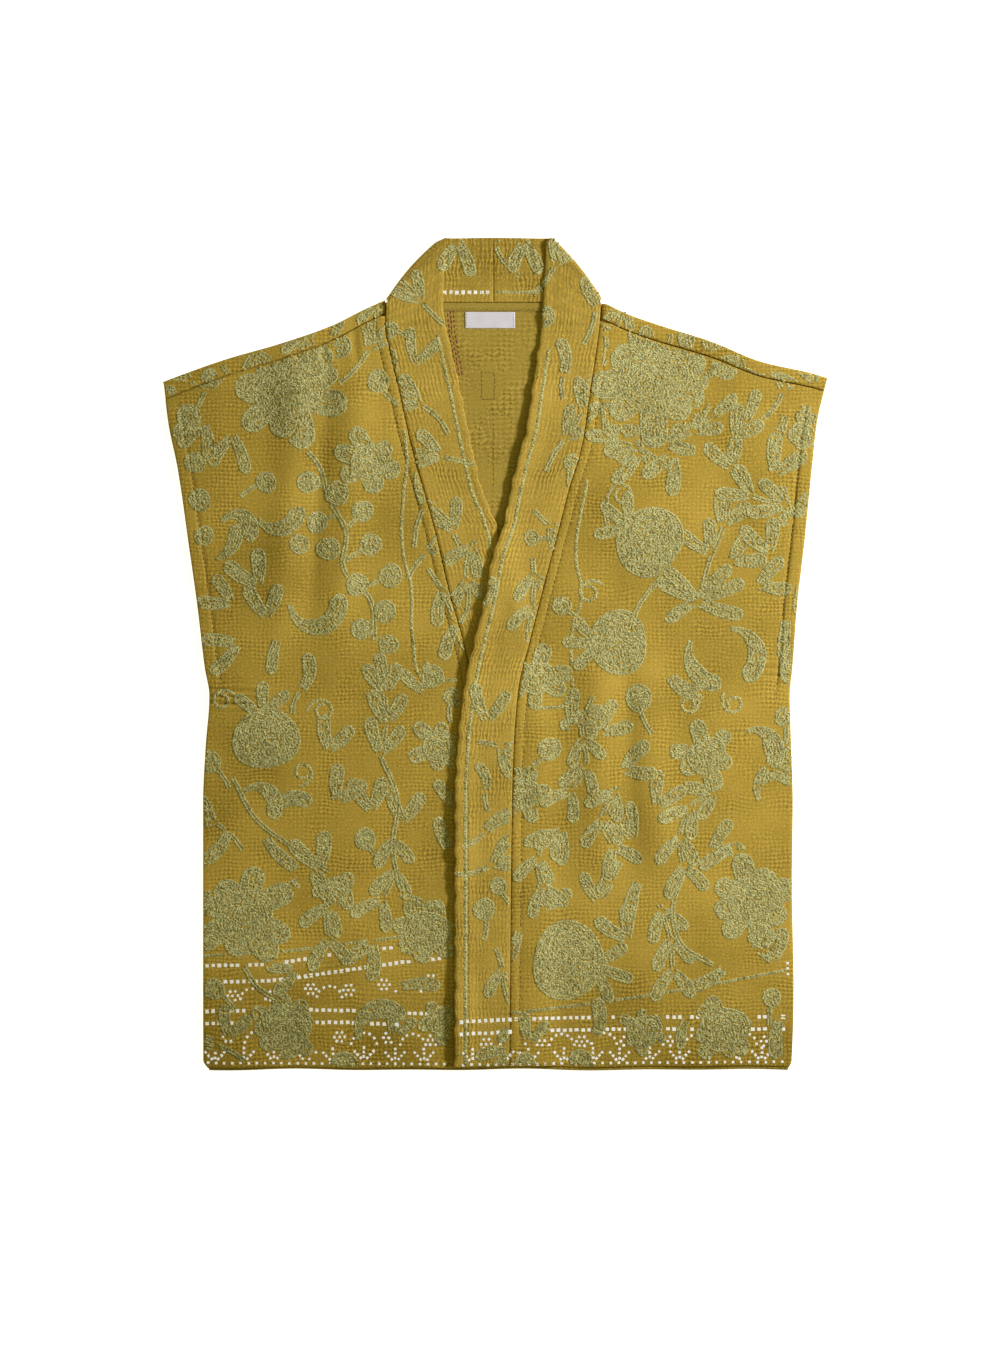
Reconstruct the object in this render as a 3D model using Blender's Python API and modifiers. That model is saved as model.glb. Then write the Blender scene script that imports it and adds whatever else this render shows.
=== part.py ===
"""Quilted open-front waistcoat laid flat with its front up, as the pieces a maker cuts and sews."""
import math

import bmesh
import bpy
import numpy as np

MM = 0.001

# Cloth, seams and layers, in millimetres
QUILT = 1.8             # wall of the quilted body cloth
BAND = 3.4              # wall of the band, two layers of quilt
GAP = 0.3               # space between pieces that touch
SEAM = 0.45             # space between two panels side by side along a curved seam
ROW_PITCH = 4.8         # from one row of quilting to the next
ROW_RISE = 0.3          # height of the cloth between two rows
COARSE = 6              # outer rows for each row of the plain inner face
UNDERCUT = 2.2          # how far a front's underside stands back along the shoulder seam

BACK_TOP = QUILT
FRONT_LOW = BACK_TOP + GAP
BAND_TOP = FRONT_LOW + BAND

# Side seams and armholes from hem to shoulder tip: height, left edge, right edge
SIDES = (
    (-374.0, -257.5, 264.0),
    (-366.0, -262.6, 267.2),
    (-300.0, -262.8, 269.0),
    (-205.0, -262.8, 267.4),
    (-132.0, -262.8, 268.2),
    (-85.0, -260.6, 266.8),
    (-38.0, -257.2, 265.6),
    (-12.0, -261.4, 267.9),
    (40.0, -267.6, 271.8),
    (100.0, -276.0, 278.6),
    (166.0, -285.6, 285.3),
    (207.0, -294.0, 289.8),
    (248.0, -299.0, 299.5),
)

# Shoulder folds from neck to tip: distance from the middle, left height, right height
SHOULDERS = (
    (99.6, 318.0, 315.4),
    (119.0, 309.2, 306.0),
    (146.0, 295.7, 296.4),
    (195.0, 278.7, 281.0),
    (240.0, 265.8, 262.8),
    (285.0, 250.0, 252.6),
    (299.0, 244.6, 248.4),
)

# Band edges down the fronts: height, left seam, left free edge, right free edge, right seam
BANDS = (
    (374.0, -95.0, -44.0, 46.5, 91.0),
    (316.0, -97.5, -46.8, 43.2, 95.0),
    (296.0, -98.3, -44.5, 41.8, 94.0),
    (270.0, -93.6, -38.5, 38.2, 90.5),
    (230.0, -84.6, -29.8, 32.1, 84.6),
    (200.0, -78.0, -23.6, 27.6, 80.5),
    (180.0, -73.0, -19.5, 21.9, 76.4),
    (150.0, -64.5, -12.5, 14.5, 67.0),
    (113.0, -54.5, 1.8, 6.8, 57.5),
    (86.0, -47.7, 7.0, -2.8, 50.3),
    (54.0, -40.5, 12.0, -8.3, 42.0),
    (10.0, -28.0, 23.0, -19.0, 31.0),
    (-30.0, -19.5, 31.0, -27.5, 21.2),
    (-80.0, -16.0, 36.0, -33.4, 17.0),
    (-132.0, -15.0, 38.0, -36.0, 15.3),
    (-374.0, -14.0, 38.0, -36.0, 12.8),
)

# Each half, named from the wearer's side: sign of x, its columns in the tables, widths of the
# shoulder strip at neck and tip, hem height, ends of the collar fold and its bulge
HALVES = {
    "right": dict(sign=-1, side=1, shoulder=1, seam=1, free=2, strip=(12.0, 16.0), hem=-372.6,
                  fold_neck=(-98.0, 319.0), fold_free=(-46.4, 375.0), bulge=3.2, hidden=True),
    "left": dict(sign=1, side=2, shoulder=2, seam=4, free=3, strip=(15.5, 12.5), hem=-371.4,
                 fold_neck=(96.6, 319.6), fold_free=(51.5, 374.0), bulge=2.4, hidden=False),
}

# Long soft folds of the fronts, a trough between two ridges: half, x and y of the upper end,
# x and y of the lower end, distance of the ridges from the trough, their rise
FOLDS = {
    "right": (-148.0, 290.0, -172.0, -50.0, 26.0, 2.2),
    "left": (112.0, 20.0, 124.0, -240.0, 24.0, 1.9),
}

NECK_SEAM = 316.0       # height of the back neck seam
NECK_HALF = 98.6        # half its width
SHOULDER_TIP = 228.0    # height where the armhole hem meets the shoulder seam
BACK_HEM = -374.88
BACK_ROWS = (BACK_HEM, -371.0, -366.0, -300.0, -205.0, -132.0, -85.0, -38.0, -12.0, 40.0, 100.0,
             150.0, 190.0, SHOULDER_TIP)
BACK_LEVEL = 40.0       # height above which the back's rows bend towards the shoulder line
NECK_RAMP = 284.0       # height where the fronts start to rise over the folded band
RAMP = 24.0             # how far the upper front takes to come down off the band below
ARMHOLE_HEM = 13.0      # width of the turned armhole hem
HEM_ROLL = 4.0          # width of its rounded edge
HEM_RISE = 0.7          # its height above the panel, where the cloth is double
HEM_SOFT = 0.5          # how far the cut edge rounds down
UNDERARM = -38.0        # height of the underarm
FRONT_TOP = {"right": 303.4, "left": 297.0}
CENTRE_BACK = -1.4      # x of the centre back seam of the band
# Columns across each shoulder, shared by the wrapped strip and the front's slanted edge
SHOULDER_COLUMNS = np.array([100.4, 122.0, 150.0, 190.0, 230.0, 268.0, 299.0])
# Columns across the band from its seam to its free edge, and how far each lies below full height
BAND_SHARE = np.array([0.0, 0.12, 0.5, 0.86, 1.0])
BAND_SINK = np.array([0.7, 0.1, 0.35, 0.0, 1.3])
BAND_TOP_EDGE = 374.6   # height of the band's free edge at the centre back
BAND_LEVEL = 292.0      # height below which the band's sections run level
BAND_ROWS = 46          # sections from there to the hem

TAPE = dict(x=(-84.0, 84.0), y=(308.6, NECK_SEAM - 0.4), thick=0.8)
LABEL = dict(x=(-27.0, 18.0), y=(292.9, 307.6), thick=0.5)

QUILT_COLOUR = (0.42, 0.30, 0.045, 1.0)
BAND_COLOUR = (0.40, 0.28, 0.05, 1.0)
INSIDE_COLOUR = (0.38, 0.28, 0.06, 1.0)
LABEL_COLOUR = (0.72, 0.68, 0.72, 1.0)


def along(table, column, at):
    """Smooth curve through one column of a table, against its first column, with no overshoot."""
    rows = np.array(sorted(table))
    x, y = rows[:, 0], rows[:, column]
    rise = np.diff(y) / np.diff(x)
    before, after = np.append(rise[0], rise), np.append(rise, rise[-1])
    total = np.where(before + after == 0.0, 1.0, before + after)
    slope = np.where(before * after > 0.0, 2.0 * before * after / total, 0.0)
    at = np.clip(np.asarray(at, float), x[0], x[-1])
    i = np.clip(np.searchsorted(x, at) - 1, 0, len(x) - 2)
    h = x[i + 1] - x[i]
    t = (at - x[i]) / h
    return ((2 * t**3 - 3 * t**2 + 1) * y[i] + (t**3 - 2 * t**2 + t) * h * slope[i]
            + (3 * t**2 - 2 * t**3) * y[i + 1] + (t**3 - t**2) * h * slope[i + 1])


def ease(t):
    """Smooth step from 0 to 1."""
    t = np.clip(t, 0.0, 1.0)
    return t * t * (3.0 - 2.0 * t)


def material(name, colour, roughness):
    mat = bpy.data.materials.new(name)
    mat.use_nodes = True
    shader = mat.node_tree.nodes["Principled BSDF"]
    shader.inputs["Base Color"].default_value = colour
    shader.inputs["Roughness"].default_value = roughness
    shader.inputs["Metallic"].default_value = 0.0
    mat.diffuse_color = colour
    return mat


def add_object(name, bm, mat):
    """Put a finished body into the garment's collection, its faces pointing out."""
    bmesh.ops.recalc_face_normals(bm, faces=bm.faces)
    mesh = bpy.data.meshes.new(name)
    bm.to_mesh(mesh)
    bm.free()
    mesh.materials.append(mat)
    mesh.shade_smooth()
    obj = bpy.data.objects.new(name, mesh)
    garment.objects.link(obj)
    return obj


def rim_fan(bm, edge, start, end):
    """Triangles from a row of edge points down to the two inner points at its ends."""
    middle = len(edge) // 2
    for r in range(len(edge) - 1):
        bm.faces.new((edge[r], edge[r + 1], start if r < middle else end))
    bm.faces.new((edge[middle], end, start))


def closed_wall(name, outer, inner, mat, present=None, stride=1):
    """A cloth wall lofted between an outer and an inner grid of points, with a rim all round.

    The inner grid keeps every stride-th row of the outer one. Cells marked absent are left out.
    """
    steps, cols = len(inner) - 1, outer.shape[1]
    if present is None:
        present = np.ones((steps, cols - 1), bool)
    bm = bmesh.new()
    top = [[bm.verts.new(p * MM) for p in row] for row in outer]
    low = [[bm.verts.new(p * MM) for p in row] for row in inner]
    has = np.pad(present, 1)
    for s, c in zip(*np.nonzero(present)):
        first, last = s * stride, (s + 1) * stride
        for r in range(first, last):
            bm.faces.new((top[r][c], top[r][c + 1], top[r + 1][c + 1], top[r + 1][c]))
        bm.faces.new((low[s][c], low[s + 1][c], low[s + 1][c + 1], low[s][c + 1]))
        for side, beyond in ((c, c), (c + 1, c + 2)):
            if not has[s + 1, beyond]:
                rim_fan(bm, [top[r][side] for r in range(first, last + 1)], low[s][side], low[s + 1][side])
        if not has[s, c + 1]:
            bm.faces.new((top[first][c + 1], top[first][c], low[s][c], low[s][c + 1]))
        if not has[s + 2, c + 1]:
            bm.faces.new((top[last][c], top[last][c + 1], low[s + 1][c + 1], low[s + 1][c]))
    loose = [v for v in bm.verts if not v.link_faces]
    bmesh.ops.delete(bm, geom=loose, context="VERTS")
    return add_object(name, bm, mat)


def support(half, x, y):
    """Height of what a front piece lies on: the back, the folded band, or the lower front."""
    base = BACK_TOP + (BAND - BACK_TOP) * ease((y - NECK_RAMP) / 20.0)
    if HALVES[half]["hidden"]:
        return base
    lower_edge = along(BANDS, HALVES["right"]["free"], y)
    return np.maximum(base, BACK_TOP + (BAND_TOP - BACK_TOP) * (1.0 - ease((x - lower_edge) / RAMP)))


def fold_rise(half, x, y):
    """Two soft ridges with a trough between them, fading out at both ends."""
    x0, y0, x1, y1, apart, rise = FOLDS[half]
    t = (y0 - y) / (y0 - y1)
    offset = (np.abs(x - (x0 + (x1 - x0) * t)) - apart) / apart
    fade = ease(t / 0.2) * ease((1.0 - t) / 0.35)
    return rise * fade * np.exp(-2.2 * offset * offset)


def shoulder_fold(half, x):
    return along(SHOULDERS, HALVES[half]["shoulder"], np.abs(x))


def shoulder_seam(half, x):
    """The seam runs below the fold by the width of the strip that wraps over."""
    neck, tip = HALVES[half]["strip"]
    reach = (np.abs(x) - SHOULDERS[0][0]) / (SHOULDERS[-1][0] - SHOULDERS[0][0])
    return shoulder_fold(half, x) - neck - (tip - neck) * reach


def build_front(half, mat):
    """One front: level rows from hem to neck point, quilted on the outer face only."""
    spec = HALVES[half]
    sign = spec["sign"]
    steps = round((FRONT_TOP[half] - spec["hem"]) / (ROW_PITCH * COARSE / 2.0))
    y = np.linspace(spec["hem"], FRONT_TOP[half], steps * COARSE + 1)

    seam_height = shoulder_seam(half, SHOULDER_COLUMNS) - 2.0 * SEAM
    slope_x = np.interp(y, seam_height[::-1], SHOULDER_COLUMNS[::-1])
    side_x = np.abs(along(SIDES, spec["side"], y))
    outer_x = sign * np.minimum(side_x, slope_x)
    inner_x = along(BANDS, spec["seam"], y) + sign * SEAM
    width = np.abs(outer_x - inner_x)

    # columns as shares of the width: the armhole hem, the long fold, on the upper front the
    # ramp over the band below, and the band seam. The limits keep them in order near the neck
    x0, y0, x1, y1, apart, _ = FOLDS[half]
    trough = x0 + (x1 - x0) * np.clip((y0 - y) / (y0 - y1), 0.0, 1.0)
    share = [np.zeros_like(y), np.minimum(HEM_ROLL / width, 0.08), np.minimum(ARMHOLE_HEM / width, 0.18)]
    for side in (-1.0, 0.0, 1.0):
        at = np.abs(trough - sign * side * apart - outer_x) / width
        share.append(np.clip(at, 0.30 + 0.16 * side, 0.64 + 0.10 * side))
    if not spec["hidden"]:
        under = along(BANDS, HALVES["right"]["free"], y)
        for past, limit in ((RAMP + 1.0, 0.84), (1.0, 0.93)):
            share.append(np.clip((outer_x - under - past) / width, limit - 0.06, limit))
    share.append(np.ones_like(y))
    share = np.array(share).T
    x = outer_x[:, None] + (inner_x - outer_x)[:, None] * share
    rows_y = np.repeat(y[:, None], x.shape[1], axis=1)

    low = support(half, x, rows_y) + GAP + fold_rise(half, x, rows_y)
    turned = ease((y - UNDERARM) / 20.0) * (1.0 - ease((y - SHOULDER_TIP) / 14.0 + 1.0))
    relief = np.zeros_like(x)
    relief[1::2, 1:] = ROW_RISE
    relief[:, 0] = -HEM_SOFT
    relief[:, 1] += HEM_RISE * turned
    top = low + QUILT + relief
    outer = np.stack([x, rows_y, top], axis=2)

    # the underside stands back from the wrapped strip, its columns closing up to make room
    under_x = (outer_x - sign * UNDERCUT * ease((y - SHOULDER_TIP) / 4.0))[:, None]
    x = under_x + (inner_x[:, None] - under_x) * share
    low = support(half, x, rows_y) + GAP + fold_rise(half, x, rows_y)
    inner = np.stack([x, rows_y, low], axis=2)[::COARSE]
    return closed_wall(f"front_{half}_panel", outer, inner, mat, stride=COARSE)


def build_band(half, mat):
    """One band strip: back neck, fold over the side neck, then down the front to the hem."""
    spec = HALVES[half]
    sign = spec["sign"]
    count = len(BAND_SHARE)
    outside, inside = BAND + GAP / 2.0, GAP / 2.0

    neck, free = np.array(spec["fold_neck"]), np.array(spec["fold_free"])
    line = (free - neck) / np.linalg.norm(free - neck)
    inward = sign * np.array([-line[1], line[0]])
    fold = neck + np.outer(BAND_SHARE, free - neck)
    fold = fold - inward * (spec["bulge"] * np.sin(math.pi * BAND_SHARE))[:, None]
    roll = fold + inward * outside
    height = np.interp(BAND_SHARE, (0.0, 1.0), (NECK_SEAM + GAP, BAND_TOP_EDGE))
    centre = np.column_stack([np.full(count, CENTRE_BACK + sign * GAP / 2.0), height])
    outer, inner = [], []

    # back neck, lying on the outer face of the band
    for t in (0.0, 0.25, 0.5, 0.75):
        flat = centre + (roll - centre) * t
        outer.append(np.column_stack([flat, np.zeros(count)]))
        inner.append(np.column_stack([flat, BAND - BAND_SINK * ease((1.0 - t) / 0.4)]))

    # roll over the fold line
    for turn in np.linspace(-math.pi / 2.0, math.pi / 2.0, 6):
        for rows, reach in ((outer, outside), (inner, inside)):
            flat = roll - inward * reach * math.cos(turn)
            rows.append(np.column_stack([flat, np.full(count, outside + reach * math.sin(turn))]))

    # front, lying on the back panel and on whatever crosses under it
    down = np.linspace(BAND_LEVEL, spec["hem"] + GAP, BAND_ROWS + 1)[1:]
    at_seam = np.append(np.linspace(roll[0, 1], BAND_LEVEL, 6)[1:], down)
    at_free = np.append(np.linspace(roll[-1, 1], BAND_LEVEL, 6)[1:], down)
    for i, (low_y, high_y) in enumerate(zip(at_seam, at_free)):
        settled = ease(i / 4.0)
        wave = 0.9 * settled * math.sin(0.31 * high_y) * math.sin(0.083 * high_y + 1.0)
        x_seam = along(BANDS, spec["seam"], low_y)
        x = x_seam + (along(BANDS, spec["free"], high_y) + wave - x_seam) * BAND_SHARE
        y = low_y + (high_y - low_y) * BAND_SHARE
        low = support(half, x, y) + GAP
        ripple = 0.35 * (1.0 + math.sin(0.42 * high_y + 0.6)) * BAND_SHARE**2
        outer.append(np.stack([x, y, low + BAND - (BAND_SINK + ripple) * settled], axis=1))
        inner.append(np.stack([x, y, low], axis=1))
    return closed_wall(f"collar_band_{half}", np.array(outer), np.array(inner), mat)


def build_back(mat):
    """The back on its flat outer face, its shoulder edges rolled over to the front side."""
    half_width = np.append(np.linspace(0.0, NECK_HALF, 4), SHOULDER_COLUMNS)
    reach = np.append(-half_width[:0:-1], half_width)
    cols = len(reach)
    neck = np.abs(reach) < NECK_HALF + 0.1
    halves = ["right" if x < 0.0 else "left" for x in reach]
    outside = QUILT + GAP / 2.0

    # the top of the flat part, the seam line, and the way in from the fold, column by column
    fold = np.array([[x, shoulder_fold(h, x)] for h, x in zip(halves, reach)])
    seam = np.array([[x, shoulder_seam(h, x)] for h, x in zip(halves, reach)])
    ahead = np.array([[x + 1.0, shoulder_fold(h, x + 1.0)] for h, x in zip(halves, reach)])
    line = (ahead - fold) / np.linalg.norm(ahead - fold, axis=1)[:, None]
    inward = np.column_stack([line[:, 1], -line[:, 0]])
    roll = fold + inward * outside
    roll[neck] = np.column_stack([reach[neck], np.full(neck.sum(), NECK_SEAM - 0.1)])

    outer, inner = [], []
    for height in BACK_ROWS:
        bend = 0.9 * ease((height - BACK_LEVEL) / (SHOULDER_TIP - BACK_LEVEL))
        y = height + (roll[:, 1] - height) * bend
        left, right = along(SIDES, 1, y[0]), along(SIDES, 2, y[-1])
        flat = np.column_stack([np.where(reach < 0.0, -left, right) * reach / half_width[-1], y])
        outer.append(np.column_stack([flat, np.zeros(cols)]))
        inner.append(np.column_stack([flat, np.full(cols, QUILT)]))
    outer.append(np.column_stack([roll, np.zeros(cols)]))
    inner.append(np.column_stack([roll, np.full(cols, QUILT)]))
    flat_rows = len(outer)

    for turn in np.linspace(-math.pi / 2.0, math.pi / 2.0, 5)[1:]:
        for rows, far in ((outer, outside), (inner, GAP / 2.0)):
            flat = roll - inward * far * math.cos(turn)
            rows.append(np.column_stack([flat, np.full(cols, outside + far * math.sin(turn))]))
    outer.append(np.column_stack([seam, np.full(cols, 2.0 * outside)]))
    inner.append(np.column_stack([seam, np.full(cols, outside + GAP / 2.0)]))

    present = np.ones((len(outer) - 1, cols - 1), bool)
    on_neck = neck[:-1] | neck[1:]
    present[flat_rows - 1:, on_neck] = False
    return closed_wall("back_panel", np.array(outer), np.array(inner), mat, present=present)


def build_strip(name, size, low, mat):
    """A flat sewn-on strip with softened edges."""
    (x0, x1), (y0, y1), thick = size["x"], size["y"], size["thick"]
    bm = bmesh.new()
    bmesh.ops.create_cube(bm, size=1.0)
    bmesh.ops.scale(bm, vec=((x1 - x0) * MM, (y1 - y0) * MM, thick * MM), verts=bm.verts)
    centre = ((x0 + x1) / 2.0 * MM, (y0 + y1) / 2.0 * MM, (low + thick / 2.0) * MM)
    bmesh.ops.translate(bm, vec=centre, verts=bm.verts)
    obj = add_object(name, bm, mat)
    bevel = obj.modifiers.new("soft edges", "BEVEL")
    bevel.width = 0.15 * MM
    bevel.segments = 1
    return obj


for old in list(bpy.data.objects):
    bpy.data.objects.remove(old, do_unlink=True)

garment = bpy.data.collections.new("quilted_waistcoat")
bpy.context.scene.collection.children.link(garment)

build_back(material("quilt back", INSIDE_COLOUR, 0.9))
for wearer_side in HALVES:
    build_front(wearer_side, material(f"quilt front {wearer_side}", QUILT_COLOUR, 0.88))
    build_band(wearer_side, material(f"band {wearer_side}", BAND_COLOUR, 0.88))
build_strip("neck_tape", TAPE, BACK_TOP + GAP, material("neck tape", BAND_COLOUR, 0.85))
build_strip("woven_label", LABEL, BACK_TOP + GAP, material("woven label", LABEL_COLOUR, 0.7))
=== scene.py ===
import math
import bmesh
import bpy
import numpy as np
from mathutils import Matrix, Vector


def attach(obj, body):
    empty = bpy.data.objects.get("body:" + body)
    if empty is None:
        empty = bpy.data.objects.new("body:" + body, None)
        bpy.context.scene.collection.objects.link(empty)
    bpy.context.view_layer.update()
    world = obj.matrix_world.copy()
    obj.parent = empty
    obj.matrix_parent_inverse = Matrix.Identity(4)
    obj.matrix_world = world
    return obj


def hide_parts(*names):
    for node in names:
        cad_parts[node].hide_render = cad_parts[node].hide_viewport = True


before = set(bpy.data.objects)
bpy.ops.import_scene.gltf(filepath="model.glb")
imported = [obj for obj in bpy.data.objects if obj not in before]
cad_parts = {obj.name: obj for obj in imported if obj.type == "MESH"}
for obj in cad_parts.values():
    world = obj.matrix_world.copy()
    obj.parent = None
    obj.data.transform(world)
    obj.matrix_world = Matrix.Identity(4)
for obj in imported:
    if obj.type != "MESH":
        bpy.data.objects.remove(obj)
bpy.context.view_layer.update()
MM = 0.001              # sizes are in millimetres, and from the floor on in metres


# The back is one panel of soft quilted cotton with its outer face on the table. Its shoulder edges
# roll over the shoulder line and lie on the front side as two strips, where the fronts are sewn on.
# The inside, which shows in the neck opening, is an olive cotton with level rows of running stitch.
QUILT = 1.8             # thickness of the quilted cloth
GAP = 0.3               # between cloths that lie on each other
BACK_HEM = -374.88
NECK_SEAM = 316.0
NECK_HALF = 95.7        # half the width of the back's neck opening
NECK_POINT = 99.6       # where each shoulder fold starts
SHOULDER_TIP = 228.0    # height where the armhole hem meets the shoulder seam
SHOULDER_HALF = 299.0   # half the width from tip to tip
SIDES = (               # height, left edge, right edge
    (-374.0, -257.5, 264.0), (-366.0, -262.6, 267.2), (-300.0, -262.8, 269.0), (-205.0, -262.8, 267.4),
    (-132.0, -262.8, 268.2), (-85.0, -260.6, 266.8), (-38.0, -257.2, 265.6), (-12.0, -261.4, 267.9),
    (40.0, -267.6, 271.8), (100.0, -276.0, 278.6), (166.0, -285.6, 285.3), (207.0, -294.0, 289.8),
    (248.0, -299.0, 299.5),
)
SHOULDERS = (           # distance from the middle, left fold height, right fold height
    (99.6, 318.0, 315.4), (119.0, 309.2, 306.0), (146.0, 295.7, 296.4), (195.0, 278.7, 281.0),
    (240.0, 265.8, 262.8), (285.0, 250.0, 252.6), (299.0, 244.6, 248.4),
)
HALVES = {              # named from the wearer's side, so the right half is on the viewer's left
    "right": dict(sign=-1, side=1, seam=1, free=2, strip=(12.0, 16.0), hem=-372.6, top=303.4,
                  fold_neck=(-98.0, 319.0), fold_free=(-46.4, 376.2), bulge=3.2, corner=2.4),
    "left": dict(sign=1, side=2, seam=4, free=3, strip=(15.5, 12.5), hem=-371.4, top=297.0,
                 fold_neck=(96.6, 319.6), fold_free=(51.5, 375.0), bulge=2.4, corner=1.0),
}


def ease(t):
    """Smooth step: 3t² - 2t³ between 0 and 1, level outside."""
    t = np.clip(t, 0.0, 1.0)
    return t * t * (3.0 - 2.0 * t)


def rounded(t):
    """Quarter circle: the square root of t(2 - t), 0 at an edge and 1 from unit distance on."""
    t = np.clip(t, 0.0, 1.0)
    return np.sqrt(t * (2.0 - t))


def hermite(t, step, start, end, start_slope, end_slope):
    """Cubic Hermite curve at the share t of a step, through both ends with their slopes."""
    return ((2 * t**3 - 3 * t**2 + 1) * start + (t**3 - 2 * t**2 + t) * step * start_slope
            + (3 * t**2 - 2 * t**3) * end + (t**3 - t**2) * step * end_slope)


def along(table, column, at):
    """Hermite curve through a column of a table, its slopes the harmonic means of the chords."""
    rows = np.array(sorted(table))
    x, y = rows[:, 0], rows[:, column]
    rise = np.diff(y) / np.diff(x)
    before, after = np.append(rise[0], rise), np.append(rise, rise[-1])
    total = np.where(before + after == 0.0, 1.0, before + after)
    slope = np.where(before * after > 0.0, 2.0 * before * after / total, 0.0)
    at = np.clip(np.asarray(at, float), x[0], x[-1])
    i = np.clip(np.searchsorted(x, at) - 1, 0, len(x) - 2)
    step = x[i + 1] - x[i]
    return hermite((at - x[i]) / step, step, y[i], y[i + 1], slope[i], slope[i + 1])


def shoulder_fold(half, x):
    return along(SHOULDERS, HALVES[half]["side"], np.abs(x))


def shoulder_seam(half, x):
    """Fold height less the strip's width, which changes evenly from neck to tip."""
    neck, tip = HALVES[half]["strip"]
    share = (np.abs(x) - NECK_POINT) / (SHOULDER_HALF - NECK_POINT)
    return shoulder_fold(half, x) - neck - (tip - neck) * share


def hem_wave(x, y):
    """Unevenness of the bottom hem, a product of two sines that fades out over 40 mm."""
    return 0.9 * np.sin(0.047 * x + 0.5) * np.sin(0.013 * x + 1.0) * (1.0 - ease((y - BACK_HEM) / 40.0))


def mottle(x, y, size, seed):
    """Slow unevenness, mostly between -1 and 1: six sine waves in seeded directions, over 3.2."""
    rng = np.random.default_rng(seed)
    total = np.zeros(np.broadcast(x, y).shape)
    turns, phases, paces = (rng.uniform(*span, 6) for span in ((0, math.pi), (0, 6.28), (0.7, 1.6)))
    for turn, phase, pace in zip(turns, phases, paces):
        total += np.sin((x * math.cos(turn) + y * math.sin(turn)) * 2.0 * math.pi * pace / size + phase)
    return total / 3.2


def piece_of(name, mesh):
    """The mesh as a piece of the scene, carried by the garment's one body."""
    piece = bpy.data.objects.new(name, mesh)
    bpy.context.scene.collection.objects.link(piece)
    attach(piece, "root")
    return piece


def sewn_sheet(name, face, lining, materials, steps=(1, 1), present=None, threads=None):
    """A closed sheet between a grid of face points and a grid of lining points.

    The lining has every steps-th row and column of the face. Cells that aren't present are left out,
    and a rim of polygons joins the two layers along every open side. The attribute weave keeps each
    point's place along the cloth's own threads, which is its x and y unless threads gives another.
    """
    threads = face[..., :2] if threads is None else threads
    present = np.ones(np.array(lining.shape[:2]) - 1, bool) if present is None else present
    top = np.arange(face.shape[0] * face.shape[1]).reshape(face.shape[:2])
    low = top.size + np.arange(lining.shape[0] * lining.shape[1]).reshape(lining.shape[:2])
    fine = np.repeat(np.repeat(present, steps[0], axis=0), steps[1], axis=1)
    blocks = []
    for grid, keep in ((top, fine), (low, present)):
        corners = [grid[:-1, :-1], grid[:-1, 1:], grid[1:, 1:], grid[1:, :-1]]
        blocks.append(np.stack(corners, axis=2)[keep])
    framed = np.pad(present, 1)
    for di, dj in ((-1, 0), (1, 0), (0, -1), (0, 1)):
        beyond = framed[1 + di:1 + di + present.shape[0], 1 + dj:1 + dj + present.shape[1]]
        i, j = (k[:, None] for k in np.nonzero(present & ~beyond))
        if di:
            i = i + (di > 0)
            edge = top[i * steps[0], j * steps[1] + np.arange(steps[1] + 1)]
            blocks.append(np.hstack([edge, low[i, j + np.array([1, 0])]]))
        else:
            j = j + (dj > 0)
            edge = top[i * steps[0] + np.arange(steps[0] + 1), j * steps[1]]
            blocks.append(np.hstack([edge, low[i + np.array([1, 0]), j]]))
    used = np.unique(np.concatenate([b.ravel() for b in blocks]))
    new = np.zeros(top.size + low.size, int)
    new[used] = np.arange(len(used))
    points = np.vstack([face.reshape(-1, 3), lining.reshape(-1, 3)])[used] * MM
    mesh = bpy.data.meshes.new(name)
    mesh.from_pydata(points.tolist(), [], [p for b in blocks for p in new[b].tolist()])
    layer = np.zeros(len(mesh.polygons), np.int32)
    layer[len(blocks[0]):len(blocks[0]) + len(blocks[1])] = len(materials) - 1
    for mat in materials:
        mesh.materials.append(mat)
    mesh.polygons.foreach_set("material_index", layer)
    shell = bmesh.new()
    shell.from_mesh(mesh)
    bmesh.ops.recalc_face_normals(shell, faces=shell.faces)
    shell.to_mesh(mesh)
    shell.free()
    mesh.shade_smooth()
    weave = np.zeros((len(used), 3))
    place = [threads.reshape(-1, 2), threads[::steps[0], ::steps[1]].reshape(-1, 2)]
    weave[:, :2] = np.vstack(place)[used]
    mesh.attributes.new("weave", "FLOAT_VECTOR", "POINT").data.foreach_set("vector", weave.ravel())
    return piece_of(name, mesh)


def new_material(name):
    """A material, its node tree and its shader."""
    mat = bpy.data.materials.new(name)
    mat.use_nodes = True
    return mat, mat.node_tree, mat.node_tree.nodes["Principled BSDF"]


def put(tree, kind, sockets=None, **settings):
    """Adds a shader node. A socket given another node's output is linked to it, others are set."""
    node = tree.nodes.new("ShaderNode" + kind)
    for name, value in settings.items():
        setattr(node, name, value)
    for name, value in (sockets or {}).items():
        if isinstance(value, bpy.types.NodeSocket):
            tree.links.new(value, node.inputs[name])
        else:
            node.inputs[name].default_value = value
    return node


def reckon(tree, operation, a, b=0.0, c=0.0):
    return put(tree, "Math", {0: a, 1: b, 2: c}, operation=operation).outputs[0]


def noise(tree, at, scale, detail, roughness=0.5):
    sockets = {"Vector": at, "Scale": scale, "Detail": detail, "Roughness": roughness}
    return put(tree, "TexNoise", sockets).outputs["Fac"]


def ranged(tree, value, low, high, start=0.0, end=1.0):
    """From start to end while the value goes from low to high, level outside."""
    return put(tree, "MapRange", {0: value, 1: low, 2: high, 3: start, 4: end}).outputs[0]


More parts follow.
